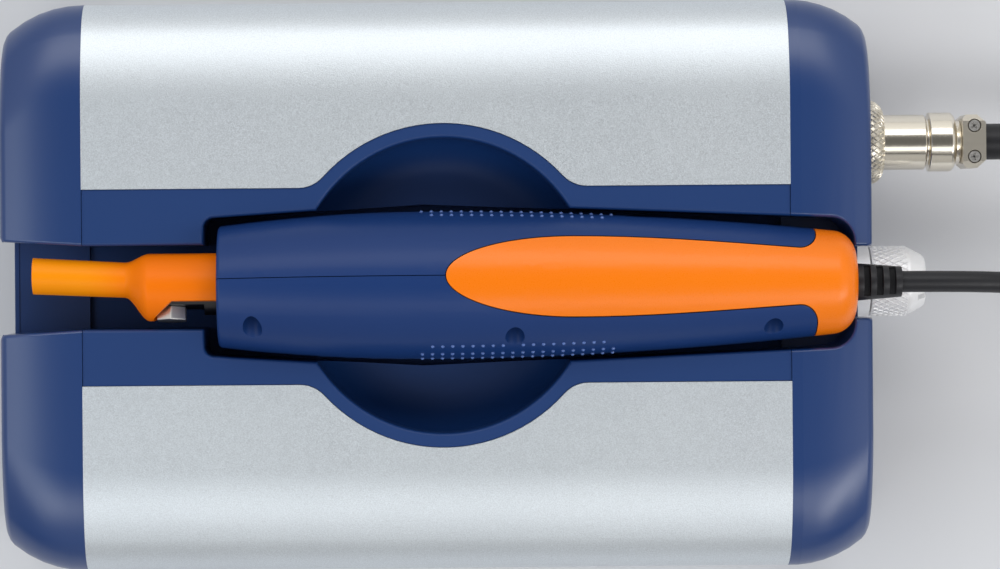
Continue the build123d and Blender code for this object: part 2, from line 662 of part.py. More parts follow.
with BuildPart() as rear_end_cap:
    end_cap_blank(1, CAP_REAR_BAND, CAP_CREASE)
    inner_depth = CAP_LENGTH - CAP_END_WALL - POCKET_DEPTH
    bar(
        across(JOINT_X, 0, (CAP_CAVITY_LOW + cavity_top) / 2),
        2 * CAP_CAVITY_HALF,
        cavity_top - CAP_CAVITY_LOW,
        inner_depth,
        mode=Mode.SUBTRACT,
    )
    room_x = JOINT_X - CAP_LENGTH
    with BuildSketch(Plane.XY.offset(NOTCH_FLOOR_Z)) as tail_room:
        with BuildLine() as side:
            Polyline(
                (room_x, 0),
                (room_x, channel_half(room_x)),
                (TAIL_X - FREE_GAP, channel_half(TAIL_X)),
                (TAIL_X - FREE_GAP, 0),
            )
            mirror(side.line, about=Plane.XZ)
        make_face()
        fillet(tail_room.vertices().group_by(Axis.X)[-1], TAIL_EDGE_RADIUS)
        with Locations((HALF_LENGTH, 0)):
            Rectangle(2 * CAP_LENGTH, 2 * REAR_NOTCH_HALF)
    extrude(amount=NOTCH_DEPTH, mode=Mode.SUBTRACT)
    bar(
        across(HALF_LENGTH, POCKET_Y, CONNECTOR_Z),
        POCKET_WIDTH,
        POCKET_HEIGHT,
        -POCKET_DEPTH,
        POCKET_CORNER,
        Mode.SUBTRACT,
    )
    bar(
        across(HALF_LENGTH, RECESS_Y, CONNECTOR_Z),
        RECESS_WIDTH,
        RECESS_HEIGHT,
        -RECESS_DEPTH,
        POCKET_CORNER,
        Mode.SUBTRACT,
    )
    for y, radius in ((PLUG_Y, SOCKET_RADIUS), (0, PEDAL_RADIUS)):
        disc(
            across(HALF_LENGTH, y, CONNECTOR_Z),
            radius + TOUCH_GAP,
            -CAP_LENGTH,
            Mode.SUBTRACT,
        )
    for y, radius in ((PLUG_Y, SOCKET_NUT_RADIUS), (0, PEDAL_FLANGE_RADIUS)):
        disc(
            across(JOINT_X, y, CONNECTOR_Z),
            radius + TOUCH_GAP,
            CAP_LENGTH - CAP_END_WALL,
            Mode.SUBTRACT,
        )
    bar(
        across(JOINT_X, INLET_Y, CONNECTOR_Z),
        INLET_WIDTH + 2 * TOUCH_GAP,
        INLET_HEIGHT + 2 * TOUCH_GAP,
        CAP_LENGTH,
        mode=Mode.SUBTRACT,
    )
    bar(
        across(JOINT_X, SWITCH_Y, CONNECTOR_Z),
        SWITCH_WIDTH + 2 * TOUCH_GAP,
        SWITCH_HEIGHT + 2 * TOUCH_GAP,
        CAP_LENGTH,
        mode=Mode.SUBTRACT,
    )
    for y, z in cap_screw_places():
        disc(
            across(HALF_LENGTH, y, z),
            CAP_SCREW_HEAD_RADIUS + TOUCH_GAP,
            -CAP_SCREW_SINK - CAP_SCREW_HEAD,
            Mode.SUBTRACT,
        )
        disc(across(HALF_LENGTH, y, z), CAP_SCREW_RADIUS + TOUCH_GAP, -CAP_LENGTH, Mode.SUBTRACT)

with BuildPart() as rubber_feet:
    with GridLocations(BASE_LENGTH - 2 * FOOT_INSET_X, BASE_WIDTH - 2 * FOOT_INSET_Y, 2, 2):
        Cylinder(FOOT_RADIUS, FOOT_HEIGHT, align=(Align.CENTER, Align.CENTER, Align.MIN))

with BuildPart() as end_cap_screws:
    for end in (-1, 1):
        seat_x = end * (HALF_LENGTH - CAP_SCREW_SINK)
        for y, z in cap_screw_places():
            disc(across(seat_x, y, z), CAP_SCREW_HEAD_RADIUS, -end * CAP_SCREW_HEAD)
            disc(
                across(seat_x, y, z),
                CAP_SCREW_RADIUS,
                -end * (CAP_LENGTH - CAP_SCREW_SINK + CAP_SCREW_GRIP),
            )

# Front panel, display and keys
PANEL_FACE_X = -HALF_LENGTH + PANEL_RECESS - PANEL_THICKNESS
PANEL_BACK_X = -HALF_LENGTH + PANEL_RECESS
DISPLAY_BOARD_X = PANEL_BACK_X + DISPLAY_BOARD_GAP
KEY_PLACES = [KEY_FIRST_Y + KEY_PITCH * i for i in range(3)]

with BuildPart() as front_panel:
    bar(
        across(PANEL_FACE_X, 0, PANEL_Z),
        PANEL_WIDTH - 2 * TOUCH_GAP,
        PANEL_HEIGHT - 2 * TOUCH_GAP,
        PANEL_THICKNESS,
        PANEL_CORNER - TOUCH_GAP,
    )
    bar(
        across(PANEL_FACE_X, WINDOW_Y, PANEL_Z),
        WINDOW_WIDTH,
        WINDOW_HEIGHT,
        PANEL_THICKNESS,
        mode=Mode.SUBTRACT,
    )
    for key_y in KEY_PLACES:
        disc(
            across(PANEL_FACE_X, key_y, PANEL_Z),
            KEY_RADIUS + KEY_GAP,
            PANEL_THICKNESS,
            Mode.SUBTRACT,
        )

with BuildPart() as display_window:
    window_length = DISPLAY_BOARD_X - PANEL_FACE_X
    bar(across(PANEL_FACE_X, WINDOW_Y, PANEL_Z), WINDOW_WIDTH, WINDOW_HEIGHT, window_length)

with BuildPart() as display_board:
    bar(
        across(DISPLAY_BOARD_X, 0, PANEL_Z),
        PANEL_WIDTH - 2 * PANEL_LEDGE,
        PANEL_HEIGHT - 2 * PANEL_LEDGE - 2 * TOUCH_GAP,
        BOARD_THICKNESS,
    )

keys = []
for key_y in KEY_PLACES:
    with BuildPart() as key:
        key_side = Plane(origin=(0, key_y, PANEL_Z), x_dir=(1, 0, 0), z_dir=(0, -1, 0))
        flange_x = PANEL_BACK_X + KEY_GAP
        turned(
            key_side,
            (PANEL_FACE_X - KEY_PROUD, 0),
            (PANEL_FACE_X - KEY_PROUD, KEY_RADIUS - KEY_PROUD / 2),
            (PANEL_FACE_X - KEY_PROUD / 2, KEY_RADIUS),
            (flange_x, KEY_RADIUS),
            (flange_x, KEY_RADIUS + KEY_FLANGE_STEP),
            (flange_x + KEY_FLANGE, KEY_RADIUS + KEY_FLANGE_STEP),
            (flange_x + KEY_FLANGE, KEY_STEM_RADIUS),
            (DISPLAY_BOARD_X - KEY_TRAVEL - KEY_GAP, KEY_STEM_RADIUS),
            (DISPLAY_BOARD_X - KEY_TRAVEL - KEY_GAP, 0),
        )
    keys.append(key)
power_key, up_key, down_key = keys

# Mains inlet and switch
POCKET_X = HALF_LENGTH - POCKET_DEPTH
with BuildPart() as mains_inlet:
    bar(
        across(POCKET_X, INLET_Y, CONNECTOR_Z),
        INLET_WIDTH + 2 * INLET_RIM,
        INLET_HEIGHT + 2 * INLET_RIM,
        INLET_BEZEL,
        INLET_RIM,
    )
    bar(across(POCKET_X, INLET_Y, CONNECTOR_Z), INLET_WIDTH, INLET_HEIGHT, INLET_BEZEL - INLET_LENGTH)
    with BuildSketch(across(POCKET_X + INLET_BEZEL, INLET_Y, CONNECTOR_Z)) as cavity:
        Rectangle(INLET_WIDTH - 2 * INLET_WALL, INLET_HEIGHT - 2 * INLET_WALL)
        chamfer(cavity.vertices().group_by(Axis.Y)[-1], INLET_CHAMFER)
    extrude(amount=-INLET_CAVITY_DEPTH, mode=Mode.SUBTRACT)
    pin_places = [(-INLET_PIN_Y, -INLET_PIN_Z), (INLET_PIN_Y, -INLET_PIN_Z), (0, INLET_PIN_Z)]
    for y, z in pin_places:
        bar(
            across(POCKET_X, INLET_Y + y, CONNECTOR_Z + z),
            INLET_PIN_WIDTH,
            INLET_PIN_HEIGHT,
            -INLET_LENGTH,
            mode=Mode.SUBTRACT,
        )

with BuildPart() as inlet_pins:
    for y, z in pin_places:
        bar(
            across(POCKET_X + INLET_BEZEL - INLET_LENGTH, INLET_Y + y, CONNECTOR_Z + z),
            INLET_PIN_WIDTH,
            INLET_PIN_HEIGHT,
            INLET_PIN_LENGTH,
        )

ROCKER_X = POCKET_X - ROCKER_PIVOT
rocker_side = Plane(origin=(ROCKER_X, SWITCH_Y, CONNECTOR_Z), x_dir=(1, 0, 0), z_dir=(0, -1, 0))
with BuildPart() as switch_frame:
    bar(
        across(POCKET_X, SWITCH_Y, CONNECTOR_Z),
        SWITCH_WIDTH + 2 * SWITCH_RIM,
        SWITCH_HEIGHT + 2 * SWITCH_RIM,
        SWITCH_BEZEL,
        SWITCH_RIM,
    )
    bar(
        across(POCKET_X, SWITCH_Y, CONNECTOR_Z),
        SWITCH_WIDTH,
        SWITCH_HEIGHT,
        SWITCH_BEZEL - SWITCH_LENGTH,
    )
    with BuildSketch(rocker_side):
        Circle(ROCKER_RADIUS + FREE_GAP)
        with Locations((ROCKER_RADIUS, 0)):
            Rectangle(2 * ROCKER_RADIUS, 2 * (ROCKER_RADIUS + FREE_GAP))
    extrude(amount=ROCKER_WIDTH / 2 + FREE_GAP, both=True, mode=Mode.SUBTRACT)

rest = radians(ROCKER_REST)
rocker_rest = Plane(origin=rocker_side.origin, x_dir=(cos(rest), 0, -sin(rest)), z_dir=(0, -1, 0))
with BuildPart() as mains_rocker:
    tip_x = ROCKER_RADIUS * cos(radians(ROCKER_TIP_ANGLE))
    tip_z = ROCKER_RADIUS * sin(radians(ROCKER_TIP_ANGLE))
    with BuildSketch(rocker_rest):
        Circle(ROCKER_RADIUS)
        with BuildLine():
            Polyline(
                (ROCKER_DISH, 0),
                (tip_x, tip_z),
                (2 * ROCKER_RADIUS, tip_z),
                (2 * ROCKER_RADIUS, -tip_z),
                (tip_x, -tip_z),
                close=True,
            )
        make_face(mode=Mode.SUBTRACT)
    extrude(amount=ROCKER_WIDTH / 2, both=True)

# Handpiece
with BuildPart() as hand_blank:
    hand_form(NOSE_X, TAIL_X, tail_edge=TAIL_EDGE_RADIUS, nose_edge=NOSE_EDGE_RADIUS)


def sleeve_region(grow):
    """The space of the tail sleeve and its tongue, seen from above, wider by grow all round."""
    wide = TONGUE_HALF_WIDTH + grow
    neck = TONGUE_NECK_HALF + grow
    reach = TONGUE_WIDE_X - TONGUE_TIP_X + grow
    with BuildSketch(HAND) as tongue:
        with BuildLine() as side:
            EllipticalCenterArc((TONGUE_WIDE_X, 0), reach, wide, 90, arc_size=90)
            Spline((TONGUE_WIDE_X, wide), (COLLAR_X, neck), tangents=((1, 0), (1, -TONGUE_TAPER)))
            Line((COLLAR_X, neck), (TAIL_X, neck))
            Line((TAIL_X, neck), (TAIL_X, 0))
            mirror(side.line, about=Plane.XZ)
        make_face()
        with Locations((TAIL_X, 0)):
            Rectangle(2 * (SLEEVE_COLLAR + grow), 4 * GRIP_RADIUS)
        corners = tongue.vertices().filter_by(lambda v: abs(v.X - COLLAR_X + grow) < 0.01)
        fillet(corners.filter_by(lambda v: abs(v.Y) < wide), TONGUE_FLARE - grow)
    extrude(tongue.sketch, amount=2 * GRIP_RADIUS)
    disc(hand_across(COLLAR_X - grow), 2 * GRIP_RADIUS, SLEEVE_COLLAR + 2 * grow)


with BuildPart() as tail_sleeve:
    sleeve_region(0)
    add(hand_blank.part, mode=Mode.INTERSECT)
    hand_form(
        NOSE_X,
        TAIL_X - SLEEVE_END_WALL,
        inset=SLEEVE_WALL,
        tail_edge=TAIL_EDGE_RADIUS - SLEEVE_WALL,
        mode=Mode.SUBTRACT,
    )
    tube(HAND_SIDE, TAIL_X - 2 * SLEEVE_END_WALL, TAIL_X, RELIEF_NECK_RADIUS + TOUCH_GAP, mode=Mode.SUBTRACT)

SPIGOT_END_X = TAIL_X - SLEEVE_END_WALL - RELIEF_COLLAR_LENGTH
with BuildPart() as sleeve_recess:
    sleeve_region(SLEEVE_GAP)
    hand_form(
        NOSE_X,
        SPIGOT_END_X,
        inset=SLEEVE_WALL + TOUCH_GAP,
        tail_edge=TAIL_EDGE_RADIUS - SLEEVE_WALL,
        mode=Mode.SUBTRACT,
    )

CAVITY_END_X = SPIGOT_END_X - HAND_WALL
RIB_FRONT_X = HORN_FLANGE_X - MOUNT_RING_LENGTH - RIB_LENGTH
RIB_REAR_X = HORN_FLANGE_X + HORN_FLANGE_LENGTH + MOUNT_RING_LENGTH


def half_shell(side):
    """Build one half of the handpiece; side is 1 for the left half, -1 for the right."""
    add(hand_blank.part)
    hand_form(NOSE_X + NOSE_WALL, CAVITY_END_X, inset=HAND_WALL + SLEEVE_WALL, mode=Mode.SUBTRACT)
    for rib_x in (RIB_FRONT_X, RIB_REAR_X):
        tube(HAND_SIDE, rib_x, rib_x + RIB_LENGTH, GRIP_RADIUS - HAND_WALL, STACK_RADIUS + HORN_HOLE_GAP)
    for x, z in screw_spots():
        disc(hand_beside(x, 0, z), SCREW_BOSS_RADIUS, side * GRIP_RADIUS)
    add(hand_blank.part, mode=Mode.INTERSECT)
    tube(HAND_SIDE, NOSE_X, NOSE_X + 2 * NOSE_WALL, HORN_RADIUS + HORN_HOLE_GAP, mode=Mode.SUBTRACT)
    add(sleeve_recess.part, mode=Mode.SUBTRACT)
    tube(HAND_SIDE, CAVITY_END_X, TAIL_X, CABLE_RADIUS + HORN_HOLE_GAP, mode=Mode.SUBTRACT)
    parting = Plane(origin=HAND.origin, x_dir=HAND.x_dir, z_dir=-side * HAND.y_dir)
    split(bisect_by=parting, keep=Keep.TOP)


with BuildPart() as left_half_shell:
    half_shell(1)
    for x, z in screw_spots():
        disc(
            hand_beside(x, -SCREW_SEAT_Y, z),
            SCREW_HEAD_RADIUS + SCREW_HOLE_GAP,
            GRIP_RADIUS,
            Mode.SUBTRACT,
        )
        disc(hand_beside(x, 0, z), SCREW_RADIUS + TOUCH_GAP, GRIP_RADIUS, Mode.SUBTRACT)

with BuildPart() as right_half_shell:
    half_shell(-1)
    for x, z in screw_spots():
        disc(
            hand_beside(x, 0, z),
            SCREW_RADIUS + TOUCH_GAP,
            -SCREW_GRIP - SCREW_HOLE_GAP,
            Mode.SUBTRACT,
        )

with BuildPart() as shell_screws:
    for x, z in screw_spots():
        disc(hand_beside(x, -SCREW_SEAT_Y, z), SCREW_HEAD_RADIUS, SCREW_HEAD_HEIGHT)
        disc(hand_beside(x, -SCREW_SEAT_Y, z), SCREW_RADIUS, -SCREW_SEAT_Y - SCREW_GRIP)

with BuildPart() as strain_relief:
    relief_end_x = TAIL_X + RELIEF_LENGTH
    collar_x = TAIL_X - SLEEVE_END_WALL - RELIEF_COLLAR_LENGTH
    turned(
        HAND_SIDE,
        (collar_x, 0),
        (collar_x, RELIEF_COLLAR_RADIUS),
        (TAIL_X - SLEEVE_END_WALL, RELIEF_COLLAR_RADIUS),
        (TAIL_X - SLEEVE_END_WALL, RELIEF_NECK_RADIUS),
        (TAIL_X, RELIEF_NECK_RADIUS),
        (TAIL_X, RELIEF_ROOT_RADIUS),
        (relief_end_x, RELIEF_TIP_RADIUS),
        (relief_end_x, 0),
    )
    for slot in range(RELIEF_SLOTS):
        slot_x = TAIL_X + RELIEF_FIRST_SLOT + slot * RELIEF_SLOT_PITCH
        slope = (RELIEF_ROOT_RADIUS - RELIEF_TIP_RADIUS) / RELIEF_LENGTH
        local_radius = RELIEF_ROOT_RADIUS - slope * (slot_x + RELIEF_SLOT - TAIL_X)
        for face in (-1, 1):
            with BuildSketch(hand_across(slot_x)):
                with Locations((0, face * (RELIEF_SLOT_FLOOR + RELIEF_ROOT_RADIUS / 2))):
                    Rectangle(2 * (local_radius - RELIEF_RAIL), RELIEF_ROOT_RADIUS)
            extrude(amount=RELIEF_SLOT, mode=Mode.SUBTRACT)

# Transducer
HORN_TIP_X = NOSE_X - HORN_REACH
with BuildPart() as horn:
    turned(
        HAND_SIDE,
        (HORN_TIP_X, 0),
        (HORN_TIP_X, HORN_RADIUS),
        (HORN_FLANGE_X, HORN_RADIUS),
        (HORN_FLANGE_X, HORN_FLANGE_RADIUS),
        (HORN_FLANGE_X + HORN_FLANGE_LENGTH, HORN_FLANGE_RADIUS),
        (HORN_FLANGE_X + HORN_FLANGE_LENGTH, STACK_RADIUS),
        (STACK_X, STACK_RADIUS),
        (STACK_X, 0),
    )
    tube(HAND_SIDE, STACK_X - PRELOAD_DEPTH - RUN_GAP, STACK_X, PRELOAD_RADIUS + RUN_GAP, mode=Mode.SUBTRACT)
    flat_length = BOLT_ACROSS_FLATS + 2 * BOLT_SWING_GAP + HORN_REACH - BOLT_REACH
    with BuildSketch(hand_across(HORN_TIP_X)):
        with Locations((-HORN_FLAT_Y - HORN_RADIUS, 0)):
            Rectangle(2 * HORN_RADIUS, 2 * HORN_RADIUS)
    extrude(amount=flat_length, mode=Mode.SUBTRACT)
    with BuildSketch(hand_across(HORN_TIP_X)):
        with Locations((BLADE_Y, 0)):
            Rectangle(BLADE_THICKNESS + 2 * RUN_GAP, 2 * HORN_RADIUS)
    extrude(amount=HORN_REACH - BLADE_ROOT + RUN_GAP, mode=Mode.SUBTRACT)
    disc(hand_beside(BOLT_X, 0, 0), BOLT_RADIUS + RUN_GAP, 2 * HORN_RADIUS, Mode.SUBTRACT)
    disc(
        hand_beside(BOLT_X, -HORN_FLAT_Y, 0),
        BOLT_RADIUS + RUN_GAP,
        -BOLT_LENGTH - RUN_GAP,
        Mode.SUBTRACT,
    )

with BuildPart() as mounting_rings:
    tube(
        HAND_SIDE,
        HORN_FLANGE_X - MOUNT_RING_LENGTH,
        HORN_FLANGE_X,
        HORN_FLANGE_RADIUS,
        HORN_RADIUS + TOUCH_GAP,
    )
    rear_face_x = HORN_FLANGE_X + HORN_FLANGE_LENGTH
    tube(
        HAND_SIDE,
        rear_face_x,
        rear_face_x + MOUNT_RING_LENGTH,
        HORN_FLANGE_RADIUS,
        STACK_RADIUS + TOUCH_GAP,
    )

stack_step = PIEZO_LENGTH + ELECTRODE_LENGTH
with BuildPart() as electrode_discs:
    for i in range(PIEZO_COUNT + 1):
        disc_x = STACK_X + i * stack_step
        tube(HAND_SIDE, disc_x, disc_x + ELECTRODE_LENGTH, STACK_RADIUS, PIEZO_BORE)
        tab_side = 1 if i % 2 else -1
        with BuildSketch(hand_across(disc_x)):
            with Locations((0, tab_side * STACK_RADIUS)):
                Rectangle(ELECTRODE_TAB, 2 * ELECTRODE_TAB)
        extrude(amount=ELECTRODE_LENGTH)

with BuildPart() as piezo_rings:
    for i in range(PIEZO_COUNT):
        ring_x = STACK_X + i * stack_step + ELECTRODE_LENGTH
        tube(HAND_SIDE, ring_x, ring_x + PIEZO_LENGTH, STACK_RADIUS, PIEZO_BORE)

STACK_END_X = STACK_X + PIEZO_COUNT * stack_step + ELECTRODE_LENGTH
BACK_MASS_END_X = STACK_END_X + BACK_MASS_LENGTH
with BuildPart() as back_mass:
    tube(HAND_SIDE, STACK_END_X, BACK_MASS_END_X, STACK_RADIUS, PRELOAD_RADIUS + TOUCH_GAP)

with BuildPart() as preload_bolt:
    tube(HAND_SIDE, STACK_X - PRELOAD_DEPTH, BACK_MASS_END_X, PRELOAD_RADIUS)
    tube(HAND_SIDE, BACK_MASS_END_X, BACK_MASS_END_X + PRELOAD_HEAD_LENGTH, PRELOAD_HEAD_RADIUS)

# Blade, its bolt and its cap
with BuildPart() as blade:
    blade_root_x = NOSE_X - BLADE_ROOT
    blade_tip_x = NOSE_X - BLADE_REACH
    tang_x = blade_root_x - BLADE_TANG_LENGTH
    with BuildSketch(hand_beside(0, BLADE_Y - BLADE_THICKNESS / 2, 0)):
        with BuildLine():
            Polyline(
                (blade_root_x, -BLADE_TANG_HALF),
                (blade_root_x, BLADE_TANG_HALF),
                (tang_x, BLADE_TANG_HALF),
                (tang_x - BLADE_TANG_HALF + BLADE_HALF_HEIGHT, BLADE_HALF_HEIGHT),
                (blade_tip_x + BLADE_POINT, BLADE_HALF_HEIGHT),
                (blade_tip_x, -BLADE_HALF_HEIGHT),
                (tang_x - BLADE_TANG_HALF + BLADE_HALF_HEIGHT, -BLADE_HALF_HEIGHT),
                (tang_x, -BLADE_TANG_HALF),
                close=True,
            )
        make_face()
        with Locations((BOLT_X, 0)):
            Circle(BOLT_RADIUS + 2 * RUN_GAP, mode=Mode.SUBTRACT)
    extrude(amount=-BLADE_THICKNESS)

with BuildPart() as clamp_bolt:
    with BuildSketch(hand_beside(BOLT_X, -HORN_FLAT_Y - RUN_GAP, 0)):
        RegularPolygon(BOLT_ACROSS_FLATS / 2, 6, major_radius=False, rotation=30)
    extrude(amount=BOLT_HEAD)
    disc(hand_beside(BOLT_X, -HORN_FLAT_Y - RUN_GAP, 0), BOLT_RADIUS, RUN_GAP - BOLT_LENGTH)

with BuildPart() as blade_cap:
    cap_tip_x = NOSE_X - CAP_REACH
    body_x = CAP_REAR_X - CAP_BODY_LENGTH
    neck_x = body_x - CAP_SHOULDER

    def cap_circle(x, y, radius):
        """One round section of the blade cap."""
        with BuildSketch(hand_across(x)) as section:
            with Locations((y, 0)):
                Circle(radius)
        return section.sketch

    loft([cap_circle(cap_tip_x, CAP_TIP_Y, CAP_TUBE_RADIUS), cap_circle(neck_x, CAP_NECK_Y, CAP_NECK_RADIUS)])
    shoulder = []
    for band in range(CAP_SHOULDER_BANDS + 1):
        part = band / CAP_SHOULDER_BANDS
        ease = part * part * (3 - 2 * part)
        shoulder.append(
            cap_circle(
                neck_x + part * CAP_SHOULDER,
                CAP_NECK_Y * (1 - ease),
                CAP_NECK_RADIUS + (CAP_BODY_RADIUS - CAP_NECK_RADIUS) * ease,
            )
        )
    loft(shoulder, ruled=True)
    tube(HAND_SIDE, body_x, CAP_REAR_X, CAP_BODY_RADIUS)
    tube(HAND_SIDE, HORN_TIP_X - TOUCH_GAP, CAP_REAR_X, CAP_BORE, mode=Mode.SUBTRACT)
    loft(
        [
            cap_circle(cap_tip_x + CAP_TIP_WALL, CAP_TIP_Y, CAP_TUBE_RADIUS - CAP_WALL),
            cap_circle(body_x, CAP_NECK_Y, CAP_NECK_RADIUS - CAP_WALL),
        ],
        mode=Mode.SUBTRACT,
    )
    window_x = CAP_REAR_X - CAP_WINDOW_LENGTH
    with BuildSketch(HAND):
        with BuildLine():
            Polyline(
                (window_x - CAP_WINDOW_SLANT, -CAP_BODY_RADIUS),
                (window_x, -CAP_WINDOW_Y),
                (CAP_REAR_X, -CAP_WINDOW_Y),
                (CAP_REAR_X, -2 * CAP_BODY_RADIUS),
                (window_x - CAP_WINDOW_SLANT, -2 * CAP_BODY_RADIUS),
                close=True,
            )
        make_face()
    extrude(amount=CAP_BODY_RADIUS, both=True, mode=Mode.SUBTRACT)
    swing = BOLT_ACROSS_FLATS / sqrt(3) + BOLT_SWING_GAP
    disc(hand_beside(BOLT_X, 0, 0), swing, 2 * CAP_BODY_RADIUS, Mode.SUBTRACT)

# Connectors
WALL_X = HALF_LENGTH - RECESS_DEPTH
FLANGE_X = WALL_X + SOCKET_FLANGE
NUT_X = FLANGE_X + RUN_GAP
NUT_END_X = NUT_X + NUT_LENGTH
LIP_X = NUT_END_X - NUT_LIP
SOCKET_END_X = WALL_X + SOCKET_OUT
BARREL_X = SOCKET_END_X
BARREL_END_X = WALL_X + BARREL_END
REAR_BARREL_X = BARREL_END_X + GROOVE
REAR_BARREL_END_X = REAR_BARREL_X + REAR_BARREL
CLAMP_X = REAR_BARREL_END_X + PLUG_NECK
CLAMP_END_X = CLAMP_X + CLAMP_LENGTH
SLEEVE_END_X = CLAMP_END_X + SLEEVE_OUT
SOCKET_IN_X = INNER_WALL_X - SOCKET_IN

with BuildPart() as handpiece_socket:
    tube(PLUG_SIDE, SOCKET_IN_X, SOCKET_END_X, SOCKET_RADIUS, SOCKET_BORE)
    tube(PLUG_SIDE, WALL_X, FLANGE_X, SOCKET_FLANGE_RADIUS, SOCKET_BORE)
    tube(PLUG_SIDE, SOCKET_IN_X, SOCKET_IN_X + SOCKET_STEP, SOCKET_RADIUS, SOCKET_BORE - SOCKET_STEP)

with BuildPart() as handpiece_socket_nut:
    with BuildSketch(across(INNER_WALL_X, PLUG_Y, CONNECTOR_Z)):
        RegularPolygon(SOCKET_NUT_RADIUS, 6)
        Circle(SOCKET_RADIUS + TOUCH_GAP, mode=Mode.SUBTRACT)
    extrude(amount=-SOCKET_NUT)


def pin_ring(x, y, radius, amount, mode=Mode.ADD):
    """Contact pins, or the holes for them, round a connector's axis."""
    with BuildSketch(across(x, y, CONNECTOR_Z)) as pins:
        with PolarLocations(PIN_CIRCLE, PIN_COUNT):
            Circle(radius)
    extrude(pins.sketch, amount=amount, mode=mode)


with BuildPart() as handpiece_socket_insert:
    insert_end_x = SOCKET_END_X - TOUCH_GAP
    tube(PLUG_SIDE, SOCKET_IN_X + SOCKET_STEP, insert_end_x, SOCKET_BORE - TOUCH_GAP)
    pin_ring(insert_end_x, PLUG_Y, PIN_RADIUS + TOUCH_GAP, -PIN_REACH - TOUCH_GAP, Mode.SUBTRACT)

with BuildPart() as plug_insert:
    tube(PLUG_SIDE, BARREL_X, BARREL_END_X - GROOVE, PLUG_BORE - TOUCH_GAP)
    pin_ring(BARREL_X, PLUG_Y, PIN_RADIUS, -PIN_REACH)

with BuildPart() as plug_barrel:
    turned(
        PLUG_SIDE,
        (BARREL_X, PLUG_BORE),
        (BARREL_X, BARREL_COLLAR_RADIUS),
        (LIP_X - RUN_GAP, BARREL_COLLAR_RADIUS),
        (LIP_X - RUN_GAP, BARREL_RADIUS),
        (BARREL_END_X, BARREL_RADIUS),
        (BARREL_END_X, GROOVE_RADIUS),
        (REAR_BARREL_X, GROOVE_RADIUS),
        (REAR_BARREL_X, REAR_BARREL_RADIUS),
        (REAR_BARREL_END_X - GROOVE, REAR_BARREL_RADIUS),
        (REAR_BARREL_END_X, REAR_BARREL_RADIUS - GROOVE),
        (REAR_BARREL_END_X, PLUG_NECK_RADIUS),
        (CLAMP_X, PLUG_NECK_RADIUS),
        (CLAMP_X, SLEEVE_RADIUS),
        (BARREL_END_X - GROOVE, SLEEVE_RADIUS),
        (BARREL_END_X - GROOVE, PLUG_BORE),
    )

with BuildPart() as coupling_nut:
    crown_turns = range(90, 0, -10)
    crown_x = NUT_END_X - NUT_CROWN * cos(radians(crown_turns[-1]))
    crown_radius = NUT_RADIUS - NUT_CROWN
    crown = [
        (crown_x + NUT_CROWN * cos(radians(turn)), crown_radius + NUT_CROWN * sin(radians(turn)))
        for turn in crown_turns
    ]
    turned(
        PLUG_SIDE,
        (NUT_X, SOCKET_RADIUS + RUN_GAP),
        (NUT_X, NUT_RADIUS),
        *crown,
        (NUT_END_X, BARREL_RADIUS + RUN_GAP),
        (LIP_X, BARREL_RADIUS + RUN_GAP),
        (LIP_X, SOCKET_RADIUS + RUN_GAP),
    )

with BuildPart() as plug_clamp:
    with BuildSketch(across(CLAMP_X, PLUG_Y, CONNECTOR_Z)) as clamp_outline:
        Rectangle(CLAMP_WIDTH, CLAMP_WIDTH)
        chamfer(clamp_outline.vertices(), CLAMP_CHAMFER)
        Circle(SLEEVE_RADIUS, mode=Mode.SUBTRACT)
    extrude(amount=CLAMP_LENGTH)
    clamp_half = CLAMP_WIDTH / 2
    with BuildSketch(Plane(origin=(0, PLUG_Y, CONNECTOR_Z))):
        with BuildLine() as clamp_side:
            Polyline(
                (CLAMP_X, 0),
                (CLAMP_X, clamp_half - CLAMP_NECK_CHAMFER),
                (CLAMP_X + CLAMP_NECK_CHAMFER, clamp_half),
                (CLAMP_END_X - CLAMP_END_CHAMFER, clamp_half),
                (CLAMP_END_X, clamp_half - CLAMP_END_CHAMFER),
                (CLAMP_END_X, 0),
            )
            mirror(clamp_side.line, about=Plane.XZ)
        make_face()
    extrude(amount=CLAMP_WIDTH, both=True, mode=Mode.INTERSECT)
    clamp_middle_x = CLAMP_X + CLAMP_LENGTH / 2
    screw_top = Plane.XY.offset(CONNECTOR_Z + CLAMP_WIDTH / 2)
    with BuildSketch(screw_top):
        with Locations((clamp_middle_x, PLUG_Y - CLAMP_SCREW_Y), (clamp_middle_x, PLUG_Y + CLAMP_SCREW_Y)):
            Circle(CLAMP_SCREW_HEAD + TOUCH_GAP)
    extrude(amount=-CLAMP_SCREW_HEAD, mode=Mode.SUBTRACT)
    with BuildSketch(screw_top):
        with Locations((clamp_middle_x, PLUG_Y - CLAMP_SCREW_Y), (clamp_middle_x, PLUG_Y + CLAMP_SCREW_Y)):
            Circle(CLAMP_SCREW_RADIUS + TOUCH_GAP)
    extrude(amount=-CLAMP_WIDTH, mode=Mode.SUBTRACT)

with BuildPart() as plug_clamp_screws:
    screw_seat = screw_top.offset(-CLAMP_SCREW_HEAD)
    with BuildSketch(screw_seat):
        with Locations((clamp_middle_x, PLUG_Y - CLAMP_SCREW_Y), (clamp_middle_x, PLUG_Y + CLAMP_SCREW_Y)):
            Circle(CLAMP_SCREW_HEAD)
    extrude(amount=CLAMP_SCREW_HEAD - TOUCH_GAP)
    with BuildSketch(screw_seat):
        with Locations((clamp_middle_x, PLUG_Y - CLAMP_SCREW_Y), (clamp_middle_x, PLUG_Y + CLAMP_SCREW_Y)):
            Circle(CLAMP_SCREW_RADIUS)
    extrude(amount=CLAMP_SCREW_HEAD - CLAMP_WIDTH + TOUCH_GAP)

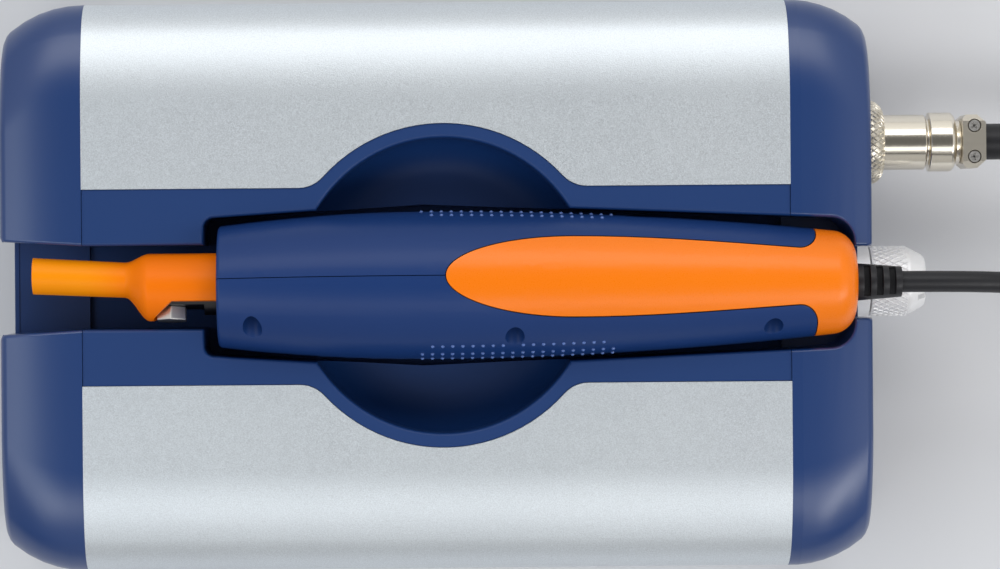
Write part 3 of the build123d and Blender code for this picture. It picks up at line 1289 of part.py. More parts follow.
with BuildPart() as plug_sleeve:
    tube(PLUG_SIDE, CLAMP_X, CLAMP_END_X, SLEEVE_RADIUS - RUN_GAP)
    tube(PLUG_SIDE, CLAMP_END_X, SLEEVE_END_X, SLEEVE_OUT_RADIUS)

PEDAL_END_X = WALL_X + PEDAL_OUT
PEDAL_CAP_X = WALL_X + PEDAL_FLANGE + PEDAL_CAP_GAP
PEDAL_CAP_BAND_X = PEDAL_CAP_X + PEDAL_CAP_KNURL
PEDAL_CAP_END_X = PEDAL_CAP_BAND_X + PEDAL_CAP_BAND
with BuildPart() as pedal_socket:
    tube(PEDAL_SIDE, SOCKET_IN_X, PEDAL_END_X, PEDAL_RADIUS, PEDAL_BORE)
    tube(PEDAL_SIDE, WALL_X, WALL_X + PEDAL_FLANGE, PEDAL_FLANGE_RADIUS, PEDAL_BORE)
    tube(PEDAL_SIDE, SOCKET_IN_X, SOCKET_IN_X + SOCKET_STEP, PEDAL_RADIUS, PEDAL_BORE - SOCKET_STEP)

with BuildPart() as pedal_socket_nut:
    with BuildSketch(across(INNER_WALL_X, 0, CONNECTOR_Z)):
        RegularPolygon(PEDAL_FLANGE_RADIUS, 6)
        Circle(PEDAL_RADIUS + TOUCH_GAP, mode=Mode.SUBTRACT)
    extrude(amount=-SOCKET_NUT)

with BuildPart() as pedal_socket_insert:
    tube(PEDAL_SIDE, SOCKET_IN_X + SOCKET_STEP, WALL_X + PEDAL_FLANGE, PEDAL_BORE - TOUCH_GAP)
    pin_ring(WALL_X + PEDAL_FLANGE, 0, PIN_RADIUS, PIN_REACH)

with BuildPart() as pedal_socket_cap:
    turned(
        PEDAL_SIDE,
        (PEDAL_CAP_X, PEDAL_RADIUS + RUN_GAP),
        (PEDAL_CAP_X, PEDAL_CAP_RADIUS),
        (PEDAL_CAP_BAND_X, PEDAL_CAP_RADIUS),
        (PEDAL_CAP_END_X - PEDAL_CAP_EDGE, PEDAL_CAP_END_RADIUS + PEDAL_CAP_EDGE),
        (PEDAL_CAP_END_X, PEDAL_CAP_END_RADIUS),
        (PEDAL_CAP_END_X, 0),
        (PEDAL_END_X + FREE_GAP, 0),
        (PEDAL_END_X + FREE_GAP, PEDAL_RADIUS + RUN_GAP),
    )
    with BuildSketch(across(PEDAL_CAP_END_X - PEDAL_CAP_SLOT_DEPTH, 0, CONNECTOR_Z)):
        Rectangle(2 * PEDAL_CAP_RADIUS, PEDAL_CAP_SLOT, rotation=PEDAL_CAP_SLOT_TURN)
    extrude(amount=PEDAL_CAP_SLOT_DEPTH, mode=Mode.SUBTRACT)

# Electronics
with BuildPart() as board_spacers:
    with BuildSketch(Plane.XY.offset(FLOOR_Z)):
        with Locations((MAIN_BOARD_X, 0)):
            with GridLocations(
                MAIN_BOARD_LENGTH - 2 * SPACER_INSET, MAIN_BOARD_WIDTH - 2 * SPACER_INSET, 2, 2
            ):
                RegularPolygon(SPACER_RADIUS, 6)
    extrude(amount=SPACER_HEIGHT)

with BuildPart() as main_board:
    with BuildSketch(Plane.XY.offset(BOARD_Z)):
        with Locations((MAIN_BOARD_X, 0)):
            RectangleRounded(MAIN_BOARD_LENGTH, MAIN_BOARD_WIDTH, SPACER_RADIUS)
    extrude(amount=BOARD_THICKNESS)

core_front = Plane(origin=(CORE_X, CORE_Y, BOARD_TOP), x_dir=(1, 0, 0), z_dir=(0, -1, 0))
with BuildPart() as transformer_core:
    with BuildSketch(core_front):
        with Locations((0, CORE_HEIGHT / 2)):
            Rectangle(CORE_LENGTH, CORE_HEIGHT)
        for window_side in (-1, 1):
            window = (CORE_LENGTH - 3 * CORE_LIMB) / 2
            with Locations((window_side * (CORE_LIMB + window) / 2, CORE_HEIGHT / 2)):
                Rectangle(window, CORE_HEIGHT - 2 * CORE_LIMB, mode=Mode.SUBTRACT)
    extrude(amount=CORE_WIDTH / 2, both=True)

with BuildPart() as transformer_coil:
    coil_half = CORE_LENGTH / 2 - CORE_LIMB - TOUCH_GAP
    with BuildSketch(Plane.XY.offset(BOARD_TOP + CORE_LIMB)):
        with Locations((CORE_X, CORE_Y)):
            RectangleRounded(2 * coil_half, CORE_WIDTH + 2 * COIL_OVERHANG, coil_half / 2)
            Rectangle(CORE_LIMB + 2 * TOUCH_GAP, CORE_WIDTH + 2 * TOUCH_GAP, mode=Mode.SUBTRACT)
    extrude(amount=CORE_HEIGHT - 2 * CORE_LIMB - TOUCH_GAP)

with BuildPart() as heat_sink:
    with BuildSketch(Plane.XY.offset(BOARD_TOP)):
        with Locations((SINK_X, SINK_Y)):
            Rectangle(SINK_LENGTH, SINK_BASE)
        fin_pitch = (SINK_LENGTH - SINK_FIN_THICKNESS) / (SINK_FIN_COUNT - 1)
        with Locations((SINK_X, SINK_Y + (SINK_BASE + SINK_FIN) / 2)):
            with GridLocations(fin_pitch, 0, SINK_FIN_COUNT, 1):
                Rectangle(SINK_FIN_THICKNESS, SINK_FIN)
    extrude(amount=SINK_HEIGHT)

with BuildPart() as power_transistors:
    with BuildSketch(Plane.XY.offset(BOARD_TOP)):
        with Locations((SINK_X, SINK_Y - (SINK_BASE + TRANSISTOR_THICKNESS) / 2)):
            with GridLocations(SINK_LENGTH / 2, 0, 2, 1):
                Rectangle(TRANSISTOR_WIDTH, TRANSISTOR_THICKNESS)
    extrude(amount=TRANSISTOR_HEIGHT)

with BuildPart() as filter_capacitors:
    with BuildSketch(Plane.XY.offset(BOARD_TOP)):
        for i in range(CAPACITOR_COUNT):
            with Locations((CAPACITOR_X + i * CAPACITOR_PITCH, CAPACITOR_Y)):
                Circle(CAPACITOR_RADIUS)
    extrude(amount=CAPACITOR_HEIGHT)

# Cable: a lead from the handpiece, a tied coil of the spare length on the table, and a return to the plug
COIL_OUTER = COIL_MEAN_RADIUS + COIL_PITCH * COIL_TURNS / 4
COIL_LOW_Z = CABLE_RADIUS + TIE_THICKNESS + TIE_GAP
COIL_HIGH_Z = COIL_LOW_Z + COIL_PITCH
RELIEF_END_X = TAIL_X + RELIEF_LENGTH
COIL_IN_X = COIL_X - CABLE_DIAMETER
COIL_START = (COIL_IN_X, -COIL_OUTER, COIL_LOW_Z)
COIL_FINISH = (COIL_IN_X, COIL_OUTER, COIL_HIGH_Z)

LEAD_ROUTE = [
    (RELIEF_END_X, 0, AXIS_Z),
    (130, 0, AXIS_Z),
    (146, -0.8, 54),
    (158, -6, 42.6),
    (166.5, -15, 27.6),
    (175.7, -26, 13.9),
    (188.9, -36, 5.5),
    (205, -COIL_OUTER, COIL_LOW_Z),
    COIL_START,
]
RETURN_ROUTE = [
    COIL_FINISH,
    (206, COIL_OUTER, COIL_HIGH_Z),
    (193.5, 39.3, 11.5),
    (180.5, 37.8, 16.2),
    (168, 36.1, 22.6),
    (157, PLUG_Y, CONNECTOR_Z),
    (SLEEVE_END_X, PLUG_Y, CONNECTOR_Z),
]


def bend_radii(route):
    """Each corner's arc radius: as large as the two runs beside it allow."""
    radii = []
    for before, corner, after in zip(route, route[1:], route[2:]):
        run_in = Vector(corner) - Vector(before)
        run_out = Vector(after) - Vector(corner)
        half_turn = radians(run_in.get_angle(run_out)) / 2
        radii.append(0.45 * min(run_in.length, run_out.length) / tan(half_turn))
    return radii


def cable_along(route, facing):
    """Sweep the cable along a route; facing is the direction in which it starts."""
    with BuildLine() as path:
        FilletPolyline(*route, radius=bend_radii(route))
    with BuildSketch(Plane(origin=route[0], z_dir=facing)) as section:
        Circle(CABLE_RADIUS)
    sweep(section.sketch, path=path.line)
    return path.wire().length


def coil_point(turn):
    """The coil's middle line after a number of turns: in along the table, up, and out again on top."""
    half = COIL_TURNS / 2
    radius = COIL_OUTER - COIL_PITCH * min(turn, COIL_TURNS - turn)
    climb = min(max((turn - half) * 2 + 0.5, 0), 1)
    angle = 2 * pi * turn - pi / 2
    return Vector(
        COIL_X + radius * cos(angle),
        radius * sin(angle),
        COIL_LOW_Z + COIL_PITCH * climb * climb * (3 - 2 * climb),
    )


def coil_heading(turn):
    """The direction of the coil's middle line; at its two ends it lies along X."""
    if turn == 0:
        return Vector(1, 0, 0)
    if turn == COIL_TURNS:
        return Vector(-1, 0, 0)
    step = 0.001
    return (coil_point(turn + step) - coil_point(turn - step)).normalized()


with BuildPart() as cable_lead:
    lead_length = cable_along(LEAD_ROUTE, (1, 0, 0))

with BuildPart() as cable_coil:
    half_turns = round(COIL_TURNS * 2)
    with BuildLine() as coil_path:
        Line(COIL_START, coil_point(0))
        for i in range(half_turns):
            here = COIL_TURNS * i / half_turns
            there = COIL_TURNS * (i + 1) / half_turns
            biarc(coil_point(here), coil_heading(here), coil_point(there), coil_heading(there))
        Line(coil_point(COIL_TURNS), COIL_FINISH)
    with BuildSketch(Plane(origin=COIL_START, z_dir=(1, 0, 0))):
        Circle(CABLE_RADIUS)
    sweep(path=coil_path.line)

with BuildPart() as cable_return:
    return_length = cable_along(RETURN_ROUTE, (-1, 0, 0))

with BuildPart() as coil_tie:
    low_turn, high_turn = 0.75, COIL_TURNS / 2 - 0.5
    bundle_out = COIL_OUTER - COIL_PITCH * low_turn + CABLE_RADIUS + TIE_GAP
    bundle_in = COIL_OUTER - COIL_PITCH * high_turn - CABLE_RADIUS - TIE_GAP
    bundle_low = COIL_LOW_Z - CABLE_RADIUS - TIE_GAP
    bundle_high = COIL_HIGH_Z + CABLE_RADIUS + TIE_GAP
    tie_plane = Plane(
        origin=(COIL_X - (bundle_out + bundle_in) / 2, 0, (bundle_low + bundle_high) / 2),
        x_dir=(1, 0, 0),
        z_dir=(0, -1, 0),
    )
    with BuildSketch(tie_plane):
        RectangleRounded(
            bundle_out - bundle_in + 2 * TIE_THICKNESS,
            bundle_high - bundle_low + 2 * TIE_THICKNESS,
            2 * TIE_THICKNESS,
        )
        RectangleRounded(
            bundle_out - bundle_in, bundle_high - bundle_low, TIE_THICKNESS, mode=Mode.SUBTRACT
        )
    extrude(amount=TIE_WIDTH / 2, both=True)

samples = [edge @ (i / 24) for edge in coil_path.edges() for i in range(24)]
skip = 2 * 24
self_gap = min(
    (a - b).length for i, a in enumerate(samples) for b in samples[i + skip :]
) - CABLE_DIAMETER
coil_length = coil_path.wire().length
section_area = pi * CABLE_RADIUS**2
print("lead radii", [round(r, 1) for r in bend_radii(LEAD_ROUTE)])
print("return radii", [round(r, 1) for r in bend_radii(RETURN_ROUTE)])
print("coil gap to itself", round(self_gap, 2))
for piece, length in ((cable_lead, lead_length), (cable_coil, coil_length), (cable_return, return_length)):
    print("length", round(length), "volume share", round(piece.part.volume / (section_area * length), 4))
print("cable length", round(lead_length + coil_length + return_length))

PIECES = {
    "extruded_shell": extruded_shell,
    "cradle_tray": cradle_tray,
    "front_end_cap": front_end_cap,
    "rear_end_cap": rear_end_cap,
    "rubber_feet": rubber_feet,
    "end_cap_screws": end_cap_screws,
    "front_panel": front_panel,
    "display_window": display_window,
    "display_board": display_board,
    "power_key": power_key,
    "up_key": up_key,
    "down_key": down_key,
    "mains_inlet": mains_inlet,
    "inlet_pins": inlet_pins,
    "switch_frame": switch_frame,
    "mains_rocker": mains_rocker,
    "tail_sleeve": tail_sleeve,
    "left_half_shell": left_half_shell,
    "right_half_shell": right_half_shell,
    "shell_screws": shell_screws,
    "strain_relief": strain_relief,
    "horn": horn,
    "mounting_rings": mounting_rings,
    "electrode_discs": electrode_discs,
    "piezo_rings": piezo_rings,
    "back_mass": back_mass,
    "preload_bolt": preload_bolt,
    "blade": blade,
    "clamp_bolt": clamp_bolt,
    "blade_cap": blade_cap,
    "handpiece_socket": handpiece_socket,
    "handpiece_socket_nut": handpiece_socket_nut,
    "handpiece_socket_insert": handpiece_socket_insert,
    "plug_insert": plug_insert,
    "plug_barrel": plug_barrel,
    "coupling_nut": coupling_nut,
    "plug_clamp": plug_clamp,
    "plug_clamp_screws": plug_clamp_screws,
    "plug_sleeve": plug_sleeve,
    "pedal_socket": pedal_socket,
    "pedal_socket_nut": pedal_socket_nut,
    "pedal_socket_insert": pedal_socket_insert,
    "pedal_socket_cap": pedal_socket_cap,
    "board_spacers": board_spacers,
    "main_board": main_board,
    "transformer_core": transformer_core,
    "transformer_coil": transformer_coil,
    "heat_sink": heat_sink,
    "power_transistors": power_transistors,
    "filter_capacitors": filter_capacitors,
    "cable_lead": cable_lead,
    "cable_coil": cable_coil,
    "cable_return": cable_return,
    "coil_tie": coil_tie,
}
for name, piece in PIECES.items():
    piece.part.label = name
    export_step(piece.part, f"parts/{name}.step")
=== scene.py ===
"""Looks of an ultrasonic cutter: a handpiece that lies in the cradle of its bench generator.

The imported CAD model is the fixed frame. Each class below dresses one sub-assembly of it. Metres, Z up,
X from the blade end to the connectors, origin on the table under the middle of the generator.
"""

import json
import logging
import math
from collections.abc import Callable, Sequence
from dataclasses import dataclass
from enum import Enum

import bmesh
import bpy
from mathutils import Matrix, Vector


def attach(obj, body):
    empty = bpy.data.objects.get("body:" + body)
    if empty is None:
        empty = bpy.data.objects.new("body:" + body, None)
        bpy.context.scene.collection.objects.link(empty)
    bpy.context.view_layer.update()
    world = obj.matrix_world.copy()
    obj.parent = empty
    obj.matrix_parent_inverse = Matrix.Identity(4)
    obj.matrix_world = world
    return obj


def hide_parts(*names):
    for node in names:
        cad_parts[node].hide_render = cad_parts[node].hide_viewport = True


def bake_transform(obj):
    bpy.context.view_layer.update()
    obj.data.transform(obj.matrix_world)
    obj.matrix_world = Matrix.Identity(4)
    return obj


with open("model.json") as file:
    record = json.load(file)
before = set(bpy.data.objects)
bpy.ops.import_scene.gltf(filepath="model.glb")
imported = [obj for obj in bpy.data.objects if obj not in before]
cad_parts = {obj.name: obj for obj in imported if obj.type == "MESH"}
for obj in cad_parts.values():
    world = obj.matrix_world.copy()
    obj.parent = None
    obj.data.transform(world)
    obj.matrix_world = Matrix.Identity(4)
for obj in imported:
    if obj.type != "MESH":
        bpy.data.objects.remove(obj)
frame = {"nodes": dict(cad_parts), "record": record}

LOG = logging.getLogger("ultrasonic_cutter")
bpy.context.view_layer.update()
Display = tuple[int, int, int]  # red, green and blue, from 0 to 255
Point = tuple[float, float, float]
FlatPoint = tuple[float, float]
Piece = bpy.types.Object
Tree = bpy.types.NodeTree
Socket = bpy.types.NodeSocket
Inputs = dict[str | int, object]
Form = bmesh.types.BMesh
Edge = bmesh.types.BMEdge

MM = 0.001
WELD = 2e-6  # points of a CAD mesh that lie closer together are one
REPEAT_WELD = 1e-7  # the same, in a repeated form
FLAT = math.radians(0.15)  # faces that meet at less are one flat face
CORNER = math.radians(40)  # edges that turn by more can be rounded
EASE_STEPS = 3  # faces across a rounded edge
FACE_WEIGHT = 100  # how much large faces set the shading of a piece
CREASE_REACH = 0.02 * MM  # how near to a crease's place its edges lie
REPEAT_ANGLE = 30.0  # edges of a repeated form above this many degrees stay sharp
RING_STEPS = 20  # flat shapes round a printed ring

DRIFT_PER_M = 22.0  # slow change of colour over a surface
DRIFT_DETAIL = 3.0
TEXTURE_SPAN = (0.25, 0.75)  # where the values of a fine texture mostly start and end
COAT_ROUGHNESS = 0.08


class Body(Enum):
    """The moving bodies of the cutter."""

    BASE = "base"
    HANDPIECE = "handpiece"
    BLADE_CAP = "blade_cap"
    CLAMP_BOLT = "clamp_bolt"
    COUPLING_NUT = "coupling_nut"
    SOCKET_CAP = "pedal_socket_cap"
    POWER_KEY = "power_key"
    UP_KEY = "up_key"
    DOWN_KEY = "down_key"
    ROCKER = "mains_rocker"


class Grain(Enum):
    """How the fine relief of a surface is patterned."""

    CLOUDY = "cloudy"
    CELLS = "cells"
    LINES = "lines"


class KeySign(Enum):
    """The sign on a front key."""

    POWER = "power"
    UP = "up"
    DOWN = "down"


NOISE_DETAIL = {Grain.CLOUDY: 4.0, Grain.LINES: 1.0}


def linear(colour: Display) -> tuple[float, ...]:
    """Turn a display colour into the linear, opaque one that shaders take."""
    parts = [part / 255 for part in colour]
    return (*(part / 12.92 if part <= 0.04045 else ((part + 0.055) / 1.055) ** 2.4 for part in parts), 1.0)


def fill(tree: Tree, node: bpy.types.Node, inputs: Inputs) -> None:
    """Give a node its inputs.

    Args:
        tree: The node's tree.
        node: The node.
        inputs: Values, sockets or lists of sockets, by the input's name or place.
    """
    for key, value in inputs.items():
        for part in value if isinstance(value, list) else [value]:
            if isinstance(part, Socket):
                tree.links.new(part, node.inputs[key])
            else:
                node.inputs[key].default_value = part


def add_node(tree: Tree, kind: str, inputs: Inputs | None = None, **settings: object) -> bpy.types.Node:
    """Add a node to a tree, with its settings and its inputs.

    Args:
        tree: The tree.
        kind: The node's type.
        inputs: As for fill().
        settings: The node's own properties.

    Returns:
        The node.
    """
    made = tree.nodes.new(kind)
    for key, value in settings.items():
        setattr(made, key, value)
    fill(tree, made, inputs or {})
    return made


@dataclass(frozen=True)
class Finish:
    """A surface: its colours, its gloss and its fine relief."""

    name: str
    colour: Display
    shade: Display
    roughness: float
    metallic: float = 0.0
    grain: Grain = Grain.CLOUDY
    grain_per_m: float = 2500.0
    stretch: Point = (1.0, 1.0, 1.0)
    relief: float = 0.15
    relief_depth: float = 0.00004
    speckle: float = 0.0
    roughness_spread: float = 0.06
    coat: float = 0.0
    gloss: float = 0.5
    # The tip colour and its span along X paint one end of a piece lighter: painted light.
    tip: Display | None = None
    painted_light_span: tuple[float, float] = (0.0, 1.0)

    def material(self) -> bpy.types.Material:
        """Build the finish as a node material, once.

        Returns:
            The material of this finish.
        """
        title = self.name + "_finish"
        found = bpy.data.materials.get(title)
        if found is not None:
            return found
        made = bpy.data.materials.new(title)
        made.use_nodes = True
        tree = made.node_tree
        place = add_node(tree, "ShaderNodeTexCoord").outputs["Object"]
        fit = add_node(tree, "ShaderNodeMapping", {"Vector": place, "Scale": self.stretch})
        relief = self._relief(tree, fit.outputs["Vector"])
        bump = {"Height": relief, "Strength": self.relief, "Distance": self.relief_depth}
        low, high = self.roughness - self.roughness_spread, self.roughness + self.roughness_spread
        inputs = {
            "Base Color": self._base_colour(tree, place, relief),
            "Roughness": self._ranged(tree, relief, low, high),
            "Normal": add_node(tree, "ShaderNodeBump", bump).outputs["Normal"],
            "Metallic": self.metallic,
            "Specular IOR Level": self.gloss,
            "Coat Weight": self.coat,
            "Coat Roughness": COAT_ROUGHNESS,
        }
        fill(tree, tree.nodes["Principled BSDF"], inputs)
        return made

    def _base_colour(self, tree: Tree, place: Socket, relief: Socket) -> Socket:
        """Mix the colour from its two shades, the painted light of the tip's colour and the speckle.

        Args:
            tree: The material's tree.
            place: The socket with the place on the piece.
            relief: The socket with the fine relief.

        Returns:
            The socket with the colour.
        """
        noise = {"Vector": place, "Scale": DRIFT_PER_M, "Detail": DRIFT_DETAIL}
        drift = add_node(tree, "ShaderNodeTexNoise", noise).outputs["Fac"]
        colour = self._mixed(tree, drift, linear(self.colour), linear(self.shade))
        # Painted light: past the span along X the piece takes the lighter, yellower tip colour.
        if self.tip is not None:
            parts = add_node(tree, "ShaderNodeSeparateXYZ", {"Vector": place})
            span = {"Value": parts.outputs["X"], "From Min": self.painted_light_span[0], "From Max": self.painted_light_span[1]}
            along = add_node(tree, "ShaderNodeMapRange", span, interpolation_type="SMOOTHSTEP")
            colour = self._mixed(tree, along.outputs["Result"], linear(self.tip), colour)
        if self.speckle > 0:
            spread = self._ranged(tree, relief, 1 - self.speckle, 1 + self.speckle)
            scaled = {0: colour, "Scale": spread}
            colour = add_node(tree, "ShaderNodeVectorMath", scaled, operation="SCALE").outputs["Vector"]
        return colour

    def _relief(self, tree: Tree, vector: Socket) -> Socket:
        """Add the texture that carries the fine relief.

        Args:
            tree: The material's tree.
            vector: The socket with the texture's place.

        Returns:
            The socket with the relief, from 0 to 1.
        """
        inputs = {"Vector": vector, "Scale": self.grain_per_m}
        if self.grain is Grain.CELLS:
            return add_node(tree, "ShaderNodeTexVoronoi", inputs).outputs["Distance"]
        inputs["Detail"] = NOISE_DETAIL[self.grain]
        return add_node(tree, "ShaderNodeTexNoise", inputs).outputs["Fac"]

    @staticmethod
    def _mixed(tree: Tree, share: Socket, first: object, second: object) -> Socket:
        """Mix two colours, values or sockets, by a share of the second."""
        return add_node(tree, "ShaderNodeMix", {0: share, 6: first, 7: second}, data_type="RGBA").outputs[2]

    @staticmethod
    def _ranged(tree: Tree, value: Socket, low: float, high: float) -> Socket:
        """Spread the span of a fine texture's values over a range.

        Args:
            tree: The material's tree.
            value: The socket to spread.
            low: Result where the texture's values mostly start.
            high: Result where they mostly end.

        Returns:
            The socket with the result.
        """
        start, end = TEXTURE_SPAN
        span = {"Value": value, "From Min": start, "From Max": end, "To Min": low, "To Max": high}
        return add_node(tree, "ShaderNodeMapRange", span).outputs["Result"]


FINISHES: dict[str, Finish] = {
    finish.name: finish
    for finish in (
        Finish("satin_aluminium", (222, 228, 232), (214, 220, 225), 0.46, 0.85, grain_per_m=3600.0,
               relief=0.45, relief_depth=0.0001, speckle=0.14),
        Finish("housing_blue", (22, 58, 114), (19, 53, 108), 0.3, grain_per_m=3200.0, relief=0.025,
               roughness_spread=0.02, gloss=0.75),
        Finish("handpiece_blue", (27, 58, 114), (24, 53, 108), 0.36, grain_per_m=3200.0, gloss=0.26),
        Finish("orange_plastic", (255, 130, 8), (252, 123, 6), 0.3, grain_per_m=3600.0, relief=0.08,
               gloss=0.36),
        # The soft cap is painted lighter and yellower at its tip than along its body: painted light.
        Finish("orange_cap", (250, 123, 1), (247, 117, 1), 0.4, grain_per_m=1500.0, relief=0.1,
               gloss=0.16, tip=(255, 150, 2), painted_light_span=(-0.088, -0.068)),
        Finish("black_rubber", (34, 34, 37), (28, 28, 31), 0.55, grain_per_m=1800.0, relief=0.25,
               gloss=0.3),
        Finish("cable_jacket", (34, 34, 38), (30, 30, 33), 0.42, grain_per_m=1400.0, relief=0.2,
               gloss=0.35),
        Finish("black_plastic", (27, 27, 29), (22, 22, 24), 0.45, grain_per_m=2600.0, relief=0.2),
        Finish("panel_grey", (98, 101, 108), (90, 93, 100), 0.5, grain_per_m=3400.0, relief=0.2),
        Finish("display_glass", (20, 23, 27), (16, 18, 21), 0.08, relief=0.01, roughness_spread=0.02,
               coat=0.6),
        Finish("key_grey", (178, 182, 188), (170, 174, 180), 0.48, grain_per_m=3000.0),
        Finish("nickel", (242, 235, 220), (234, 226, 210), 0.18, 1.0, Grain.LINES, 900.0,
               (6.0, 1.0, 1.0), 0.06, 0.00002, roughness_spread=0.03),
        Finish("bright_steel", (226, 223, 219), (214, 212, 208), 0.34, 1.0, Grain.LINES, 1200.0,
               (1.0, 5.0, 5.0), 0.1, 0.00003),
        Finish("dark_titanium", (82, 80, 80), (70, 68, 68), 0.34, 1.0, Grain.LINES, 1400.0,
               (6.0, 1.0, 1.0)),
        Finish("brass_contacts", (216, 180, 108), (200, 164, 96), 0.25, 1.0, Grain.LINES, 1200.0),
        Finish("piezo_ceramic", (206, 200, 184), (196, 190, 172), 0.6, grain=Grain.CELLS,
               grain_per_m=4000.0),
        Finish("ferrite", (66, 66, 69), (56, 56, 60), 0.62, grain=Grain.CELLS, grain_per_m=3000.0),
        Finish("copper_winding", (190, 104, 60), (172, 90, 50), 0.3, 0.8, Grain.LINES, 1600.0,
               (1.0, 1.0, 4.0), 0.5, 0.0002),
        Finish("circuit_board", (34, 98, 62), (28, 86, 54), 0.38, grain_per_m=900.0, coat=0.3),
        Finish("component_black", (42, 42, 45), (36, 36, 39), 0.5, grain_per_m=3000.0),
        Finish("sink_aluminium", (82, 84, 88), (72, 74, 78), 0.45, 0.6, grain_per_m=2600.0),
        Finish("can_sleeve", (38, 48, 84), (32, 42, 76), 0.22, grain_per_m=700.0, relief=0.08),
    )
}
TRAY_BLUE = Finish("tray_blue", (24, 59, 114), (21, 54, 108), 0.46, grain_per_m=3200.0, relief=0.05,
                   gloss=0.36)
PALE_CHROME = Finish("pale_chrome", (255, 255, 255), (252, 252, 253), 0.42, 0.32, Grain.LINES, 900.0,
                     (6.0, 1.0, 1.0), 0.06, 0.00002, roughness_spread=0.03)
SOFT_NICKEL = Finish("soft_nickel", (226, 219, 205), (218, 211, 196), 0.32, 0.9, Grain.LINES, 900.0,
                     (1.0, 6.0, 1.0), 0.06, 0.00002, roughness_spread=0.03)
# The grip dots are the handpiece's own blue plastic, painted a lighter blue: a painted highlight on the
# raised dots.
DOT_BLUE_PAINTED_HIGHLIGHT = Finish("dot_blue_painted_highlight", (92, 120, 184), (86, 114, 176), 0.2, grain_per_m=3200.0, relief=0.05)
SIGN_WHITE = Finish("sign_white", (226, 228, 230), (216, 218, 221), 0.55, grain_per_m=3000.0)
SIGN_DARK = Finish("sign_dark", (52, 55, 62), (46, 49, 56), 0.55, grain_per_m=3000.0)
FLOOR_PAPER = Finish("floor_paper", (224, 225, 228), (221, 222, 225), 0.9, grain_per_m=600.0, relief=0.02)


def link(obj: Piece) -> Piece:
    """Put an object into the scene, and give it back."""
    bpy.context.scene.collection.objects.link(obj)
    return obj


def evaluated_mesh(obj: Piece) -> bpy.types.Mesh:
    """Read an object as its modifiers or its spline leave it.

    Args:
        obj: The object, in the scene.

    Returns:
        A plain mesh of its own.
    """
    bpy.context.view_layer.update()
    graph = bpy.context.evaluated_depsgraph_get()
    return bpy.data.meshes.new_from_object(obj.evaluated_get(graph))


def form_piece(name: str, form: Form) -> Piece:
    """Turn a finished form into a piece.

    Args:
        name: The piece's name.
        form: The form, which is freed.

    Returns:
        The piece, in the scene.
    """
    mesh = bpy.data.meshes.new(name)
    form.to_mesh(mesh)
    form.free()
    return link(bpy.data.objects.new(name, mesh))


def mark_sharp(form: Form, angle: float) -> None:
    """Shade a form smooth, and keep its edges above an angle sharp.

    Args:
        form: The form to shade.
        angle: The angle in degrees.
    """
    limit = math.radians(angle)
    for face in form.faces:
        face.smooth = True
    for edge in form.edges:
        edge.smooth = edge.is_manifold and edge.calc_face_angle(0.0) < limit


def evened(obj: Piece) -> Piece:
    """Weigh a piece's smooth shading by face, so that flats and long turned faces reflect evenly.

    Args:
        obj: The piece.

    Returns:
        The same piece, with no modifier.
    """
    weigh = obj.modifiers.new("weigh", "WEIGHTED_NORMAL")
    weigh.mode, weigh.weight, weigh.keep_sharp = "FACE_AREA", FACE_WEIGHT, True
    plain, mesh = obj.data, evaluated_mesh(obj)
    obj.modifiers.remove(weigh)
    obj.data = mesh
    bpy.data.meshes.remove(plain)
    mesh.name = obj.name
    return obj


def middle_of(edge: Edge) -> Vector:
    """Give the middle of an edge."""
    return (edge.verts[0].co + edge.verts[1].co) / 2


def settle(obj: Piece, body: Body, slot: str | None, *stood_for: str, finish: Finish | None = None) -> Piece:
    """Give a finished piece its material, its body and the CAD nodes that it stands for.

    Args:
        obj: The piece.
        body: The body that it moves with.
        slot: The record's material slot, or None for a printed sign.
        stood_for: The CAD nodes that it is shown in place of.
        finish: The piece's own look, where it differs from the slot's.

    Returns:
        The same piece.
    """
    obj.data.materials.clear()
    obj.data.materials.append((finish or FINISHES[slot]).material())
    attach(obj, body.value)
    if stood_for:
        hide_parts(*stood_for)
    LOG.info("%s: %d faces on %s", obj.name, len(obj.data.polygons), body.value)
    return obj


@dataclass(frozen=True)
class Easing:
    """The rounded edges that a moulding or a turned piece has.

    Attributes:
        width: Width of the rounding, in metres.
        pick: Says which of the sharp edges are rounded; all of them if left out.
        angle: Edges above this angle, in degrees, stay sharp in the shading.
        clamp: Whether the shortest edges limit the rounding.
        crease: Where along X a slight crease runs round the piece, which stays sharp too.
    """

    width: float
    pick: Callable[[Edge], bool] | None = None
    angle: float = 32.0
    clamp: bool = True
    crease: float | None = None

    def copy(self, node: str, name: str) -> Piece:
        """Copy a CAD node as one joined mesh with rounded edges.

        Args:
            node: The CAD node.
            name: The new piece's name.

        Returns:
            The new piece, in the scene.
        """
        form = bmesh.new()
        form.from_mesh(frame["nodes"][node].data)
        bmesh.ops.remove_doubles(form, verts=form.verts[:], dist=WELD)
        bmesh.ops.dissolve_limit(
            form, angle_limit=FLAT, verts=form.verts[:], edges=form.edges[:], use_dissolve_boundaries=False
        )
        corners = [edge for edge in form.edges if edge.is_manifold and edge.calc_face_angle(0.0) > CORNER]
        bmesh.ops.bevel(
            form,
            geom=[edge for edge in corners if self.pick is None or self.pick(edge)],
            offset=self.width,
            segments=EASE_STEPS,
            profile=0.5,
            affect="EDGES",
            clamp_overlap=self.clamp,
        )
        mark_sharp(form, self.angle)
        if self.crease is not None:
            for edge in form.edges:
                if all(abs(vert.co.x - self.crease) < CREASE_REACH for vert in edge.verts):
                    edge.smooth = False
        return evened(form_piece(name, form))

    def show(self, node: str, name: str, body: Body, slot: str, finish: Finish | None = None) -> Piece:
        """Show an eased copy in place of its CAD node, and give it back."""
        return settle(self.copy(node, name), body, slot, node, finish=finish)


